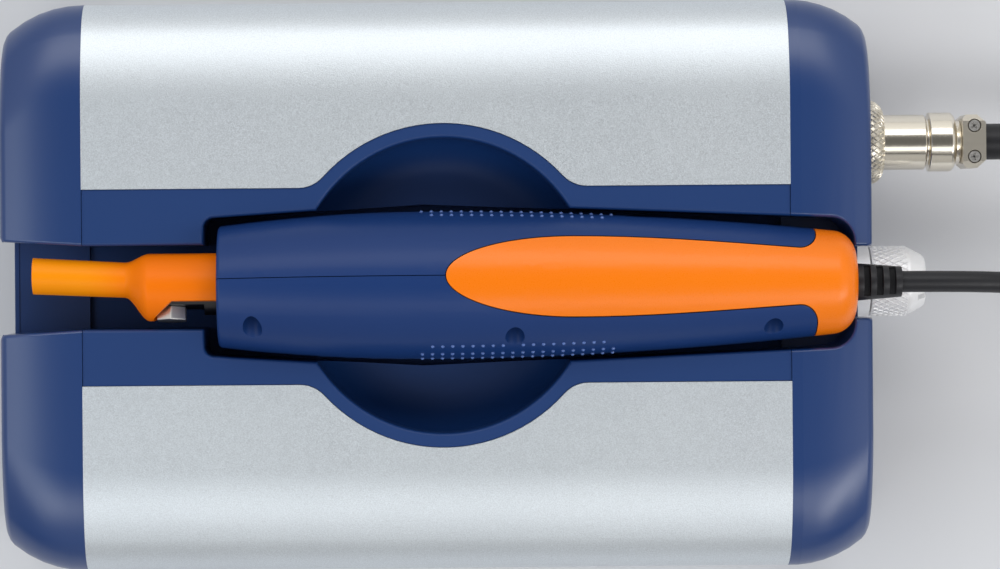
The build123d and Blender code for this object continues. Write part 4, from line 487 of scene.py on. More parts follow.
def sheet_piece(name: str, outline: Sequence[Sequence[Point]], thickness: Vector) -> Piece:
    """Make flat shapes with a thickness, such as printed signs.

    Args:
        name: The piece's name.
        outline: The corner points of each flat shape, in order.
        thickness: How far and which way the shapes are thickened.

    Returns:
        The piece, in the scene.
    """
    form = bmesh.new()
    for shape in outline:
        low = [form.verts.new(point) for point in shape]
        high = [form.verts.new(Vector(point) + thickness) for point in shape]
        form.faces.new(low[::-1])
        form.faces.new(high)
        for here in range(len(shape)):
            after = (here + 1) % len(shape)
            form.faces.new((low[here], low[after], high[after], high[here]))
    bmesh.ops.recalc_face_normals(form, faces=form.faces[:])
    return form_piece(name, form)


def ring_shapes(inner: float, outer: float, start: float, sweep: float) -> list[list[FlatPoint]]:
    """Outline a flat ring, or a part of one, as a row of four-cornered shapes.

    Args:
        inner: The inner radius.
        outer: The outer radius.
        start: Where the ring starts, in degrees.
        sweep: How far it goes round, in degrees.

    Returns:
        The corners of each shape, in the ring's own plane.
    """
    shapes = []
    for step in range(RING_STEPS):
        here, after = (math.radians(start + sweep * part / RING_STEPS) for part in (step, step + 1))
        corners = ((inner, here), (inner, after), (outer, after), (outer, here))
        shapes.append([(radius * math.cos(angle), radius * math.sin(angle)) for radius, angle in corners])
    return shapes


class Recipe:
    """A geometry node tree that repeats a small form, with its sizes as named inputs."""

    def __init__(self, name: str) -> None:
        """Start an empty tree.

        Args:
            name: The tree's name.
        """
        self.tree = bpy.data.node_groups.new(name, "GeometryNodeTree")
        for way in ("INPUT", "OUTPUT"):
            self.tree.interface.new_socket("Geometry", in_out=way, socket_type="NodeSocketGeometry")
        self.start = self.node("NodeGroupInput")
        self.end = self.node("NodeGroupOutput")
        self.values: dict[str, object] = {}

    def size(self, name: str, value: object, kind: str = "NodeSocketFloat") -> Socket:
        """Add a named input.

        Args:
            name: The input's name.
            value: The value that the piece takes.
            kind: The socket type.

        Returns:
            The socket that gives the input's value in the tree.
        """
        socket = self.tree.interface.new_socket(name, in_out="INPUT", socket_type=kind)
        self.values[socket.identifier] = value
        return self.start.outputs[name]

    def node(self, kind: str, inputs: Inputs | None = None, **settings: object) -> bpy.types.Node:
        """Add a node to the tree, with its settings and its inputs."""
        return add_node(self.tree, kind, inputs, **settings)

    def sum(self, kind: str, one: object, other: object = 0.0) -> Socket:
        """Work out a sum of two values or sockets."""
        return self.node("ShaderNodeMath", {0: one, 1: other}, operation=kind).outputs[0]

    def vector(self, x: object = 0.0, y: object = 0.0, z: object = 0.0) -> Socket:
        """Join three values or sockets to a vector."""
        return self.node("ShaderNodeCombineXYZ", {"X": x, "Y": y, "Z": z}).outputs[0]

    def rotation(self, euler: Socket) -> Socket:
        """Turn three angles into a rotation."""
        return self.node("FunctionNodeEulerToRotation", {"Euler": euler}).outputs[0]

    def join(self, *forms: Socket) -> Socket:
        """Join several geometries."""
        return self.node("GeometryNodeJoinGeometry", {0: list(forms)}).outputs[0]

    def set_out(self, points: Socket, form: Socket, turn: object = (0.0, 0.0, 0.0)) -> Socket:
        """Set a form out on points, each turned by a rotation."""
        inputs = {"Points": points, "Instance": form, "Rotation": turn}
        return self.node("GeometryNodeInstanceOnPoints", inputs).outputs["Instances"]

    def close(self, geometry: Socket, finish: Finish) -> None:
        """End the tree with real geometry in one material.

        Args:
            geometry: The geometry to give out.
            finish: Its finish.
        """
        real = self.node("GeometryNodeRealizeInstances", {"Geometry": geometry})
        inputs = {"Geometry": real.outputs["Geometry"], "Material": finish.material()}
        dressed = self.node("GeometryNodeSetMaterial", inputs)
        fill(self.tree, self.end, {"Geometry": dressed.outputs["Geometry"]})

    def grow(self, name: str, points: Sequence[Point], angle: float, tilts: Sequence[Point] = ()) -> Piece:
        """Run the tree and keep its result as a plain mesh.

        Args:
            name: The new piece's name.
            points: The points that the tree starts from.
            angle: Edges above this angle, in degrees, stay sharp.
            tilts: A rotation for each point, in radians, which the tree reads as "tilt".

        Returns:
            The piece, in the scene, with no modifier.
        """
        seed_mesh = bpy.data.meshes.new(name + "_seed")
        seed_mesh.from_pydata([tuple(point) for point in points], [], [])
        if tilts:
            seed_mesh.attributes.new("tilt", "FLOAT_VECTOR", "POINT")
            for held, tilt in zip(seed_mesh.attributes["tilt"].data, tilts):
                held.vector = tilt
        seed = link(bpy.data.objects.new(name + "_seed", seed_mesh))
        modifier = seed.modifiers.new("repeat", "NODES")
        modifier.node_group = self.tree
        for identifier, value in self.values.items():
            modifier[identifier] = value
        mesh = evaluated_mesh(seed)
        seed.modifiers.remove(modifier)
        bpy.data.objects.remove(seed)
        form = bmesh.new()
        form.from_mesh(mesh)
        bpy.data.meshes.remove(mesh)
        bmesh.ops.remove_doubles(form, verts=form.verts[:], dist=REPEAT_WELD)
        mark_sharp(form, angle)
        return form_piece(name, form)


@dataclass(frozen=True)
class ScrewSet:
    """Equal screws, drawn by one tree: a shank and a head with a cross recess on each point."""

    head_radius: float
    head_height: float
    shank_radius: float
    length: float
    recess_width: float
    recess_depth: float
    sides: int = 32
    head_taper: float = 0.88
    shank_taper: float = 0.8
    recess_reach: float = 1.15
    turn_each: float = 0.65
    slot: str = "bright_steel"

    def build(
        self, name: str, faces: Sequence[Point], tilts: Sequence[Point], body: Body, node: str
    ) -> Piece:
        """Draw the screws in place of a CAD node.

        Args:
            name: The piece's name.
            faces: The middle of each head's outer face.
            tilts: For each head, the rotation from +Z to the way that it faces, in radians.
            body: The body that the screws move with.
            node: The CAD node that they are shown in place of.

        Returns:
            The piece.
        """
        recipe = Recipe(name + "_tree")
        radius = recipe.size("Head Radius", self.head_radius)
        height = recipe.size("Head Height", self.head_height)
        thin, length = recipe.size("Shank Radius", self.shank_radius), recipe.size("Length", self.length)
        width = recipe.size("Recess Width", self.recess_width)
        depth = recipe.size("Recess Depth", self.recess_depth)

        def times(value: Socket, share: float) -> Socket:
            """Take a share of a size."""
            return recipe.sum("MULTIPLY", value, share)

        def lowered(form: Socket, drop: Socket) -> Socket:
            """Move a form down."""
            inputs = {"Geometry": form, "Translation": recipe.vector(z=times(drop, -1.0))}
            return recipe.node("GeometryNodeTransform", inputs).outputs["Geometry"]

        def pin(top: Socket, bottom: Socket, tall: Socket) -> Socket:
            """Hang a tapered pin under its point."""
            inputs = {"Vertices": self.sides, "Radius Top": top, "Radius Bottom": bottom, "Depth": tall}
            return lowered(recipe.node("GeometryNodeMeshCone", inputs).outputs["Mesh"], tall)

        rest = recipe.sum("SUBTRACT", length, height)
        shank = lowered(pin(thin, times(thin, self.shank_taper), rest), height)
        head = pin(times(radius, self.head_taper), radius, height)
        cut = recipe.node("GeometryNodeMeshBoolean", {"Mesh 1": head}, operation="DIFFERENCE")
        reach, deep = times(radius, self.recess_reach), times(depth, 2.0)
        for x, y in ((reach, width), (width, reach)):
            bar = recipe.node("GeometryNodeMeshCube", {"Size": recipe.vector(x, y, deep)})
            fill(recipe.tree, cut, {"Mesh 2": bar.outputs["Mesh"]})
        index = recipe.node("GeometryNodeInputIndex").outputs[0]
        facing = recipe.node("GeometryNodeInputNamedAttribute", {"Name": "tilt"}, data_type="FLOAT_VECTOR")
        turns = {
            "Rotation": recipe.rotation(facing.outputs["Attribute"]),
            "Rotate By": recipe.rotation(recipe.vector(z=times(index, self.turn_each))),
        }
        both = recipe.node("FunctionNodeRotateRotation", turns, rotation_space="LOCAL").outputs[0]
        screw = recipe.join(cut.outputs["Mesh"], shank)
        recipe.close(recipe.set_out(recipe.start.outputs["Geometry"], screw, both), FINISHES[self.slot])
        return settle(recipe.grow(name, faces, REPEAT_ANGLE, tilts), body, self.slot, node)


@dataclass(frozen=True)
class Knurl:
    """A crossed knurl round an axis along X: ribs on left and right helices, which may run over a crown."""

    radius: float
    length: float
    count: int
    lead_turn: float
    rib: float
    knee: float
    crown: float = 0.0
    rib_sides: int = 4
    rib_points: int = 16
    slot: str = "nickel"

    def build(self, name: str, start: Point, body: Body, finish: Finish) -> Piece:
        """Draw the ribs.

        Args:
            name: The piece's name.
            start: The axis point where the knurl begins.
            body: The body that the knurl moves with.
            finish: The knurl's finish.

        Returns:
            The piece.
        """
        recipe = Recipe(name + "_tree")
        add = recipe.sum
        radius, length = recipe.size("Radius", self.radius), recipe.size("Length", self.length)
        count = recipe.size("Count", self.count, "NodeSocketInt")
        lead, rib = recipe.size("Lead Turn", self.lead_turn), recipe.size("Rib", self.rib)
        place = recipe.size("Start", start, "NodeSocketVector")
        knee, crown = recipe.size("Knee", self.knee), recipe.size("Crown", self.crown)
        index = recipe.node("GeometryNodeInputIndex").outputs[0]
        angle = add("MULTIPLY", index, add("DIVIDE", math.tau, count))
        round_it = recipe.rotation(recipe.vector(z=angle))
        section = {"Resolution": self.rib_sides, "Radius": rib}
        profile = recipe.node("GeometryNodeCurvePrimitiveCircle", section).outputs["Curve"]
        line = recipe.node("GeometryNodeCurvePrimitiveLine", {"End": recipe.vector(z=length)})
        spaced = {"Curve": line.outputs["Curve"], "Count": self.rib_points}
        few = recipe.node("GeometryNodeResampleCurve", spaced).outputs["Curve"]
        where = recipe.node("GeometryNodeInputPosition").outputs[0]
        height = recipe.node("ShaderNodeSeparateXYZ", {0: where}).outputs["Z"]
        past = add("MAXIMUM", add("SUBTRACT", height, knee))
        left = add("SUBTRACT", add("MULTIPLY", crown, crown), add("MULTIPLY", past, past))
        reach = add("ADD", add("SUBTRACT", radius, crown), add("SQRT", add("MAXIMUM", left)))
        sets = []
        for hand in (-math.tau, math.tau):
            turn = add("MULTIPLY", add("DIVIDE", height, length), add("MULTIPLY", lead, hand))
            across, up = (add("MULTIPLY", reach, add(kind, turn)) for kind in ("COSINE", "SINE"))
            bent = {"Geometry": few, "Position": recipe.vector(across, up, height)}
            helix = recipe.node("GeometryNodeSetPosition", bent).outputs["Geometry"]
            swept = {"Curve": helix, "Profile Curve": profile, "Fill Caps": True}
            ridge = recipe.node("GeometryNodeCurveToMesh", swept).outputs["Mesh"]
            spots = recipe.node("GeometryNodeMeshLine", {"Count": count, "Offset": (0.0, 0.0, 0.0)})
            sets.append(recipe.set_out(spots.outputs["Mesh"], ridge, round_it))
        laid = {"Geometry": recipe.join(*sets), "Rotation": (0.0, math.pi / 2, 0.0), "Translation": place}
        recipe.close(recipe.node("GeometryNodeTransform", laid).outputs["Geometry"], finish)
        return settle(recipe.grow(name, [start], REPEAT_ANGLE), body, self.slot, finish=finish)


@dataclass(frozen=True)
class HandFrame:
    """The handpiece's own frame: along X, rolled a little about that axis."""

    axis_z: float = 60 * MM
    roll: float = math.radians(8)
    grip_x: float = -3 * MM
    grip_radius: float = 17.95 * MM
    tail_x: float = 102 * MM
    tail_radius: float = 12 * MM
    nose_x: float = -53 * MM
    nose_radius: float = 14.7 * MM

    def radius(self, x: float) -> float:
        """Give the handpiece's outer radius.

        Args:
            x: The place along the handpiece.

        Returns:
            The radius there.
        """
        at_nose = x < self.grip_x
        end_x, end_radius = (self.nose_x, self.nose_radius) if at_nose else (self.tail_x, self.tail_radius)
        drop = self.grip_radius - end_radius
        sweep = ((end_x - self.grip_x) ** 2 + drop**2) / (2 * drop)
        return self.grip_radius - sweep + math.sqrt(sweep**2 - (x - self.grip_x) ** 2)

    def point(self, x: float, y: float, z: float) -> Point:
        """Turn a point of the handpiece, with z above its axis, into one of the whole object."""
        c, s = math.cos(self.roll), math.sin(self.roll)
        return (x, c * y + s * z, self.axis_z - s * y + c * z)

    def across(self, point: Vector) -> float:
        """Give how far a point of the whole object lies from the handpiece's parting plane."""
        return math.cos(self.roll) * point.y - math.sin(self.roll) * (point.z - self.axis_z)


HAND = HandFrame()


@dataclass
class Cable:
    """The handpiece cable: a lead from the handpiece, a flat coil in two layers, and a return to the plug."""

    diameter: float = 5.2 * MM
    turns: float = 6.5
    per_turn: int = 24
    outer_radius: float = 40.0875 * MM
    pitch: float = 5.9 * MM
    coil_x: float = 222.2 * MM
    low_z: float = 3.8 * MM
    layer: float = 5.9 * MM
    sides: int = 14
    spline_order: int = 3
    spline_steps: int = 6
    sharp_angle: float = 50.0
    tie_ease: float = 0.15 * MM
    lead: Sequence[Point] = (
        (113.2, 0, 60), (130, 0, 60), (146, -0.8, 54), (158, -6, 42.6), (166.5, -15, 27.6),
        (175.7, -26, 13.9), (188.9, -36, 5.5), (205, -40.0875, 3.8), (217, -40.0875, 3.8),
    )
    back: Sequence[Point] = (
        (217, 40.0875, 9.7), (206, 40.0875, 9.7), (193.5, 39.3, 11.5), (180.5, 37.8, 16.2), (168, 36.1, 22.6),
        (157, 35, 26), (145.8, 35, 26),
    )

    def coil_point(self, turn: float) -> Point:
        """Give a point of the coil, which winds in on the low layer and out on the high one.

        Args:
            turn: Turns from the coil's start.

        Returns:
            The point.
        """
        radius = self.outer_radius - self.pitch * min(turn, self.turns - turn)
        climb = min(max((turn - self.turns / 2) * 2 + 0.5, 0.0), 1.0)
        angle = math.tau * turn - math.pi / 2
        return (
            self.coil_x + radius * math.cos(angle),
            radius * math.sin(angle),
            self.low_z + self.layer * climb * climb * (3 - 2 * climb),
        )

    def centre_line(self) -> list[Point]:
        """Lay the route as one smooth curve and read it back.

        Returns:
            Points along the cable.
        """
        steps = round(self.turns * self.per_turn)
        route = [tuple(part * MM for part in point) for point in self.lead]
        route += [self.coil_point(self.turns * step / steps) for step in range(steps + 1)]
        route += [tuple(part * MM for part in point) for point in self.back]
        curve = bpy.data.curves.new("cable_route", "CURVE")
        curve.dimensions = "3D"
        curve.resolution_u = self.spline_steps
        spline = curve.splines.new("NURBS")
        spline.points.add(len(route) - 1)
        for control, point in zip(spline.points, route):
            control.co = (*point, 1.0)
        spline.order_u = self.spline_order
        spline.use_endpoint_u = True
        holder = link(bpy.data.objects.new("cable_route", curve))
        mesh = evaluated_mesh(holder)
        points = [tuple(vertex.co) for vertex in mesh.vertices]
        bpy.data.objects.remove(holder)
        bpy.data.meshes.remove(mesh)
        return points

    def jacket(self, line: Sequence[Point]) -> Piece:
        """Sweep the jacket along the centre line.

        Args:
            line: Points along the cable.

        Returns:
            The cable's mesh, in the scene.
        """
        points = [Vector(point) for point in line]
        angles = [math.tau * step / self.sides for step in range(self.sides)]
        form = bmesh.new()
        rings: list[list[bmesh.types.BMVert]] = []
        side = Vector((0.0, 1.0, 0.0))
        for here, point in enumerate(points):
            ahead = points[min(here + 1, len(points) - 1)] - points[max(here - 1, 0)]
            ahead.normalize()
            side = (side - ahead * side.dot(ahead)).normalized()
            up = ahead.cross(side)
            outs = [(side * math.cos(angle) + up * math.sin(angle)) * (self.diameter / 2) for angle in angles]
            rings.append([form.verts.new(point + out) for out in outs])
        for low, high in zip(rings, rings[1:]):
            for step in range(self.sides):
                after = (step + 1) % self.sides
                form.faces.new((low[step], low[after], high[after], high[step]))
        form.faces.new(rings[0][::-1])
        form.faces.new(rings[-1])
        bmesh.ops.recalc_face_normals(form, faces=form.faces[:])
        mark_sharp(form, self.sharp_angle)
        return form_piece("handpiece_cable", form)

    def dress(self, plug_pieces: Sequence[Piece]) -> None:
        """Args:
            plug_pieces: The pieces of the plug at its far end; not used.
        """
        line = self.centre_line()
        cable = self.jacket(line)
        cable.data.materials.append(FINISHES["cable_jacket"].material())
        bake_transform(cable)
        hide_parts("cable_lead", "cable_coil", "cable_return")
        Easing(self.tie_ease).show("coil_tie", "coil_tie_strap", Body.BASE, "black_rubber")


@dataclass
class Housing:
    """The generator's case: extrusion, end caps, cradle tray and cap screws."""

    rim_z: float = 64 * MM
    rim_depth: float = 2 * MM
    rim_ease: float = 0.8 * MM
    wall_slope: float = 0.3
    notch_half: float = 24 * MM
    notch_depth: float = 12 * MM
    cut_x: float = 86.0 * MM
    cut_ease: float = 0.25 * MM
    crease_x: float = 88.7 * MM
    screw_y: float = 57 * MM
    screw_z: Sequence[float] = (13 * MM, 48 * MM)
    screw_face_x: float = 103.3 * MM
    screws: ScrewSet = ScrewSet(2.8 * MM, 2 * MM, 1.5 * MM, 26.2 * MM, 0.75 * MM, 1.2 * MM)

    def dress(self) -> None:
        """Build the case's pieces."""
        shell = Easing(self.cut_ease, self._cut)
        shell.show("extruded_shell", "blasted_shell", Body.BASE, "satin_aluminium")
        tray = Easing(self.rim_ease, self._inner_rim)
        tray.show("cradle_tray", "moulded_tray", Body.BASE, "housing_blue", TRAY_BLUE)
        front = Easing(self.rim_ease, self._notch, clamp=False)
        front.show("front_end_cap", "front_moulding", Body.BASE, "housing_blue")
        rear = Easing(self.rim_ease, self._notch, clamp=False, crease=self.crease_x)
        rear.show("rear_end_cap", "rear_moulding", Body.BASE, "housing_blue")
        faces, tilts = [], []
        for side in (-1, 1):
            for y in (-self.screw_y, self.screw_y):
                for z in self.screw_z:
                    faces.append((side * self.screw_face_x, y, z))
                    tilts.append((0.0, side * math.pi / 2, 0.0))
        self.screws.build("cap_screws", faces, tilts, Body.BASE, "end_cap_screws")

    def _above(self, edge: Edge, depth: float) -> bool:
        """Say whether an edge lies less than a depth under the rim."""
        return min(vert.co.z for vert in edge.verts) > self.rim_z - depth

    def _cut(self, edge: Edge) -> bool:
        """Say whether an edge of the extrusion lies round its opening or at its sawn ends."""
        return self._above(edge, self.rim_depth) or min(abs(vert.co.x) for vert in edge.verts) > self.cut_x

    def _inner_rim(self, edge: Edge) -> bool:
        """Say whether an edge lies on the tray's rim, over walls that face its middle.

        Args:
            edge: The edge.

        Returns:
            True if it is rounded.
        """
        middle = middle_of(edge)
        walls = [face.normal for face in edge.link_faces if abs(face.normal.z) < self.wall_slope]
        inward = all(wall.x * middle.x + wall.y * middle.y < 0 for wall in walls)
        return inward and self._above(edge, self.rim_depth)

    def _notch(self, edge: Edge) -> bool:
        """Say whether an edge of an end cap lies round the upper part of its notch."""
        near = all(abs(vert.co.y) < self.notch_half for vert in edge.verts)
        return near and self._above(edge, self.notch_depth)


@dataclass
class Handpiece:
    """The handpiece's shells, tail sleeve, screws, grip dots and strain relief."""

    shell_ease: float = 0.25 * MM
    sleeve_ease: float = 0.18 * MM
    relief_ease: float = 0.12 * MM
    skin: float = 0.3 * MM
    parting_reach: float = 0.05 * MM
    parting_face: float = 0.02 * MM
    parting_gap: float = 0.2 * MM
    dot_radius: float = 0.5 * MM
    dot_sink: float = 0.1 * MM
    dot_pitch: float = 2.43 * MM
    dot_segments: int = 12
    dot_rings: int = 8
    dot_angle: float = 60.0
    dot_rows: Sequence[tuple[float, float, int]] = ((63.0, -1.1, 18), (75.5, -3.55, 20), (88.0, -3.55, 20))
    screw_spots: Sequence[FlatPoint] = (
        (-44.4, 10.6), (-44.4, -10.6), (18.7, 10.6), (18.7, -10.6), (81.2, 7.6), (81.2, -7.6),
    )
    screw_face_y: float = -6.1 * MM
    screw_clearance: float = 3.1 * MM
    screws: ScrewSet = ScrewSet(2.1 * MM, 1.6 * MM, 1.2 * MM, 12.1 * MM, 0.6 * MM, 1.0 * MM)

    def dress(self) -> None:
        """Build the handpiece's pieces."""
        for side in ("left", "right"):
            node = f"{side}_half_shell"
            shell = Easing(self.shell_ease, self._outer_edge).copy(node, f"{side}_grip_shell")
            self._open_parting(shell)
            settle(shell, Body.HANDPIECE, "handpiece_blue", node)
        sleeve = Easing(self.sleeve_ease)
        sleeve.show("tail_sleeve", "orange_sleeve", Body.HANDPIECE, "orange_plastic")
        relief = Easing(self.relief_ease)
        relief.show("strain_relief", "slotted_relief", Body.HANDPIECE, "cable_jacket")
        faces = [HAND.point(x * MM, self.screw_face_y, z * MM) for x, z in self.screw_spots]
        tilts = [(math.pi / 2 - HAND.roll, 0.0, 0.0)] * len(faces)
        self.screws.build("grip_screws", faces, tilts, Body.HANDPIECE, "shell_screws")
        self._dots()

    def _outer_edge(self, edge: Edge) -> bool:
        """Say whether an edge lies on the outside of the handpiece, off the parting plane.

        Args:
            edge: The edge.

        Returns:
            True if it is rounded.
        """
        middle = middle_of(edge)
        if abs(HAND.across(middle)) < self.parting_reach:
            return False
        out = math.hypot(middle.y, middle.z - HAND.axis_z)
        return out > HAND.radius(min(max(middle.x, HAND.nose_x), HAND.tail_x)) - self.skin

    def _open_parting(self, shell: Piece) -> None:
        """Draw a half shell back from the parting plane, so that the parting line shows.

        Args:
            shell: The half shell.
        """
        vertices = shell.data.vertices
        offs = [HAND.across(vertex.co) for vertex in vertices]
        draw = math.copysign(self.parting_gap / 2, sum(offs))
        for vertex, off in zip(vertices, offs):
            if abs(off) < self.parting_face:
                vertex.co += Vector((0.0, math.cos(HAND.roll) * draw, -math.sin(HAND.roll) * draw))

    def _dots(self) -> None:
        """Raise the rows of grip dots on both sides of the handpiece, clear of the screw holes, in a lighter
        blue that is a painted highlight.
        """
        places = []
        for side in (-1, 1):
            for angle, start, count in self.dot_rows:
                turn = math.radians(side * angle)
                for step in range(count):
                    x = start * MM + step * self.dot_pitch
                    reach = HAND.radius(x) - self.dot_sink
                    y, z = reach * math.sin(turn), reach * math.cos(turn)
                    gaps = [math.hypot(x - hole * MM, z - up * MM) for hole, up in self.screw_spots]
                    if side > 0 or min(gaps) > self.screw_clearance:
                        places.append(HAND.point(x, y, z))
        recipe = Recipe("grip_dots_tree")
        radius = recipe.size("Dot Radius", self.dot_radius)
        ball = {"Segments": self.dot_segments, "Rings": self.dot_rings, "Radius": radius}
        dot = recipe.node("GeometryNodeMeshUVSphere", ball).outputs["Mesh"]
        recipe.close(recipe.set_out(recipe.start.outputs["Geometry"], dot), DOT_BLUE_PAINTED_HIGHLIGHT)
        dots = recipe.grow("grip_dots", places, self.dot_angle)
        settle(dots, Body.HANDPIECE, "handpiece_blue", finish=DOT_BLUE_PAINTED_HIGHLIGHT)


@dataclass
class BladeEnd:
    """The horn, the blade's clamp bolt and the soft cap."""

    ease: float = 0.2 * MM
    cap_angle: float = 38.0

    def dress(self) -> None:
        """Build the pieces at the blade end."""
        cap = Easing(self.ease, angle=self.cap_angle)
        cap.show("blade_cap", "soft_blade_cap", Body.BLADE_CAP, "orange_cap")
        metal = Easing(self.ease)
        metal.show("clamp_bolt", "hexagon_bolt", Body.CLAMP_BOLT, "bright_steel")
        metal.show("horn", "sonic_horn", Body.HANDPIECE, "dark_titanium")


@dataclass
class Connectors:
    """The plug in its socket, and the capped socket beside it."""

    plug_y: float = 35 * MM
    axis_z: float = 26 * MM
    barrel_ease: float = 0.35 * MM
    clamp_ease: float = 1.2 * MM
    sleeve_ease: float = 0.3 * MM
    grip_ease: float = 0.25 * MM
    thread_ease: float = 0.15 * MM
    nut_start: float = 106.7 * MM
    cap_start: float = 109.9 * MM
    nut_knurl: Knurl = Knurl(10.45 * MM, 6.1 * MM, 42, 0.07, 0.27 * MM, 2.52 * MM, 3.9 * MM)
    cap_knurl: Knurl = Knurl(8.65 * MM, 8.6 * MM, 36, 0.09, 0.22 * MM, 8.6 * MM)
    clamp_screw_x: float = 135.6 * MM
    clamp_screw_gap: float = 3.9 * MM
    clamp_screw_z: float = 32.6 * MM
    screws: ScrewSet = ScrewSet(1.6 * MM, 1.5 * MM, 0.8 * MM, 13.2 * MM, 0.5 * MM, 0.8 * MM)

    def dress(self) -> list[Piece]:
        """Build the connectors' pieces.

        Returns:
            The plug's pieces on the cable's end.
        """
        plug = [
            Easing(ease).show(node, name, Body.BASE, slot, finish)
            for node, name, slot, ease, finish in (
                ("plug_barrel", "plug_body", "nickel", self.barrel_ease, None),
                ("plug_clamp", "plug_cable_clamp", "nickel", self.clamp_ease, SOFT_NICKEL),
                ("plug_sleeve", "plug_cable_sleeve", "cable_jacket", self.sleeve_ease, None),
            )
        ]
        ys = [self.plug_y + side * self.clamp_screw_gap for side in (-1, 1)]
        faces = [(self.clamp_screw_x, y, self.clamp_screw_z) for y in ys]
        tilts = [(0.0, 0.0, 0.0)] * len(faces)
        plug.append(self.screws.build("clamp_screws", faces, tilts, Body.BASE, "plug_clamp_screws"))
        grip, thread = Easing(self.grip_ease), Easing(self.thread_ease)
        grip.show("coupling_nut", "knurled_nut", Body.COUPLING_NUT, "nickel", SOFT_NICKEL)
        nut_place = (self.nut_start, self.plug_y, self.axis_z)
        self.nut_knurl.build("nut_knurl", nut_place, Body.COUPLING_NUT, SOFT_NICKEL)
        grip.show("pedal_socket_cap", "knurled_cap", Body.SOCKET_CAP, "nickel", PALE_CHROME)
        self.cap_knurl.build("cap_knurl", (self.cap_start, 0.0, self.axis_z), Body.SOCKET_CAP, PALE_CHROME)
        thread.show("pedal_socket", "pedal_thread", Body.BASE, "nickel", PALE_CHROME)
        thread.show("handpiece_socket", "plug_thread", Body.BASE, "nickel")
        return plug


@dataclass
class FrontPanel:
    """The keys with their signs, the plate and the display window, on the front end."""

    key_face_x: float = -105.8 * MM
    key_y: Sequence[float] = (10 * MM, 22.5 * MM, 35 * MM)
    key_z: float = 26.2 * MM
    key_ease: float = 0.3 * MM
    plate_ease: float = 0.15 * MM
    window_ease: float = 0.2 * MM
    print_depth: float = 0.06 * MM
    print_sink: float = 0.01 * MM
    sign: float = 2.2 * MM
    arrow_foot: float = 0.6
    arrow_tip: float = 0.9
    bar_half: float = 0.14
    bar_foot: float = 0.1
    bar_top: float = 1.05
    ring_inner: float = 0.72
    ring_start: float = 125.0
    ring_sweep: float = 290.0

    def dress(self) -> None:
        """Build the keys with their signs, the plate and the window."""
        for sign, y in zip(KeySign, self.key_y):
            body = Body(f"{sign.value}_key")
            Easing(self.key_ease).show(body.value, f"{sign.value}_button", body, "key_grey")
            thickness = Vector((-self.print_depth, 0.0, 0.0))
            mark = sheet_piece(f"{sign.value}_sign", self._shapes(sign, y), thickness)
            settle(mark, body, None, finish=SIGN_DARK)
        Easing(self.plate_ease).show("front_panel", "panel_plate", Body.BASE, "housing_blue")
        Easing(self.window_ease).show("display_window", "dark_window", Body.BASE, "display_glass")

    def _shapes(self, sign: KeySign, y: float) -> list[list[Point]]:
        """Outline one sign, in shares of its size.

        Args:
            sign: Which sign.
            y: The key's place.

        Returns:
            The flat shapes, on the key's face.
        """
        x, z, s = self.key_face_x + self.print_sink, self.key_z, self.sign
        if sign is KeySign.POWER:
            left, right = y - self.bar_half * s, y + self.bar_half * s
            foot, top = z + self.bar_foot * s, z + self.bar_top * s
            bar = [(x, left, foot), (x, right, foot), (x, right, top), (x, left, top)]
            ring = ring_shapes(self.ring_inner * s, s, self.ring_start, self.ring_sweep)
            return [bar, *([(x, y + across, z + up) for across, up in shape] for shape in ring)]
        way = s if sign is KeySign.UP else -s
        foot = z - self.arrow_foot * way
        return [[(x, y - s, foot), (x, y + s, foot), (x, y, z + self.arrow_tip * way)]]


@dataclass
class RearPanel:
    """The mains inlet and the rocker with its two signs."""

    inlet_ease: float = 0.3 * MM
    switch_ease: float = 0.2 * MM
    pivot: Point = (101 * MM, -16 * MM, 26 * MM)
    dish: float = 2.4 * MM
    tip_radius: float = 5.4 * MM
    tip_angle: float = math.radians(44)
    rest_tilt: float = math.radians(8)
    print_depth: float = 0.05 * MM
    sign: float = 0.95 * MM
    sign_place: float = 0.55
    bar_half: float = 0.2
    ring_inner: float = 0.65

    def dress(self) -> None:
        """Build the inlet, the switch and the rocker's signs."""
        Easing(self.inlet_ease).show("mains_inlet", "inlet_body", Body.BASE, "black_plastic")
        switch = Easing(self.switch_ease)
        switch.show("switch_frame", "switch_collar", Body.BASE, "black_plastic")
        switch.show("mains_rocker", "rocker_key", Body.ROCKER, "black_plastic")
        shapes = self._shapes(-1) + self._shapes(1)
        marks = sheet_piece("rocker_signs", shapes, Vector((self.print_depth, 0.0, 0.0)))
        settle(marks, Body.ROCKER, None, finish=SIGN_WHITE)

    def _shapes(self, side: int) -> list[list[Point]]:
        """Outline one sign on a half of the rocker's face, in shares of its size.

        Args:
            side: 1 for the bar on the upper half, -1 for the ring on the lower.

        Returns:
            The flat shapes.
        """
        out, up = self.tip_radius * math.cos(self.tip_angle), self.tip_radius * math.sin(self.tip_angle)
        fold, tip = Vector((self.dish, 0.0)), Vector((out, side * up))
        c, s = math.cos(self.rest_tilt), math.sin(self.rest_tilt)

        def spot(across: float, along: float) -> Point:
            """Give a point on the tilted half, from the sign's middle.

            Args:
                across: Place along Y.
                along: Place towards the rocker's tip.

            Returns:
                The point in the common frame.
            """
            flat = fold.lerp(tip, self.sign_place) + (tip - fold).normalized() * along
            x, z = c * flat.x + s * flat.y, -s * flat.x + c * flat.y
            return (self.pivot[0] + x, self.pivot[1] + across, self.pivot[2] + z)

        w, h = self.bar_half * self.sign, self.sign
        bar = [[(-w, -h), (w, -h), (w, h), (-w, h)]]
        flats = bar if side > 0 else ring_shapes(self.ring_inner * self.sign, self.sign, 0.0, 360.0)
        return [[spot(*corner) for corner in flat] for flat in flats]


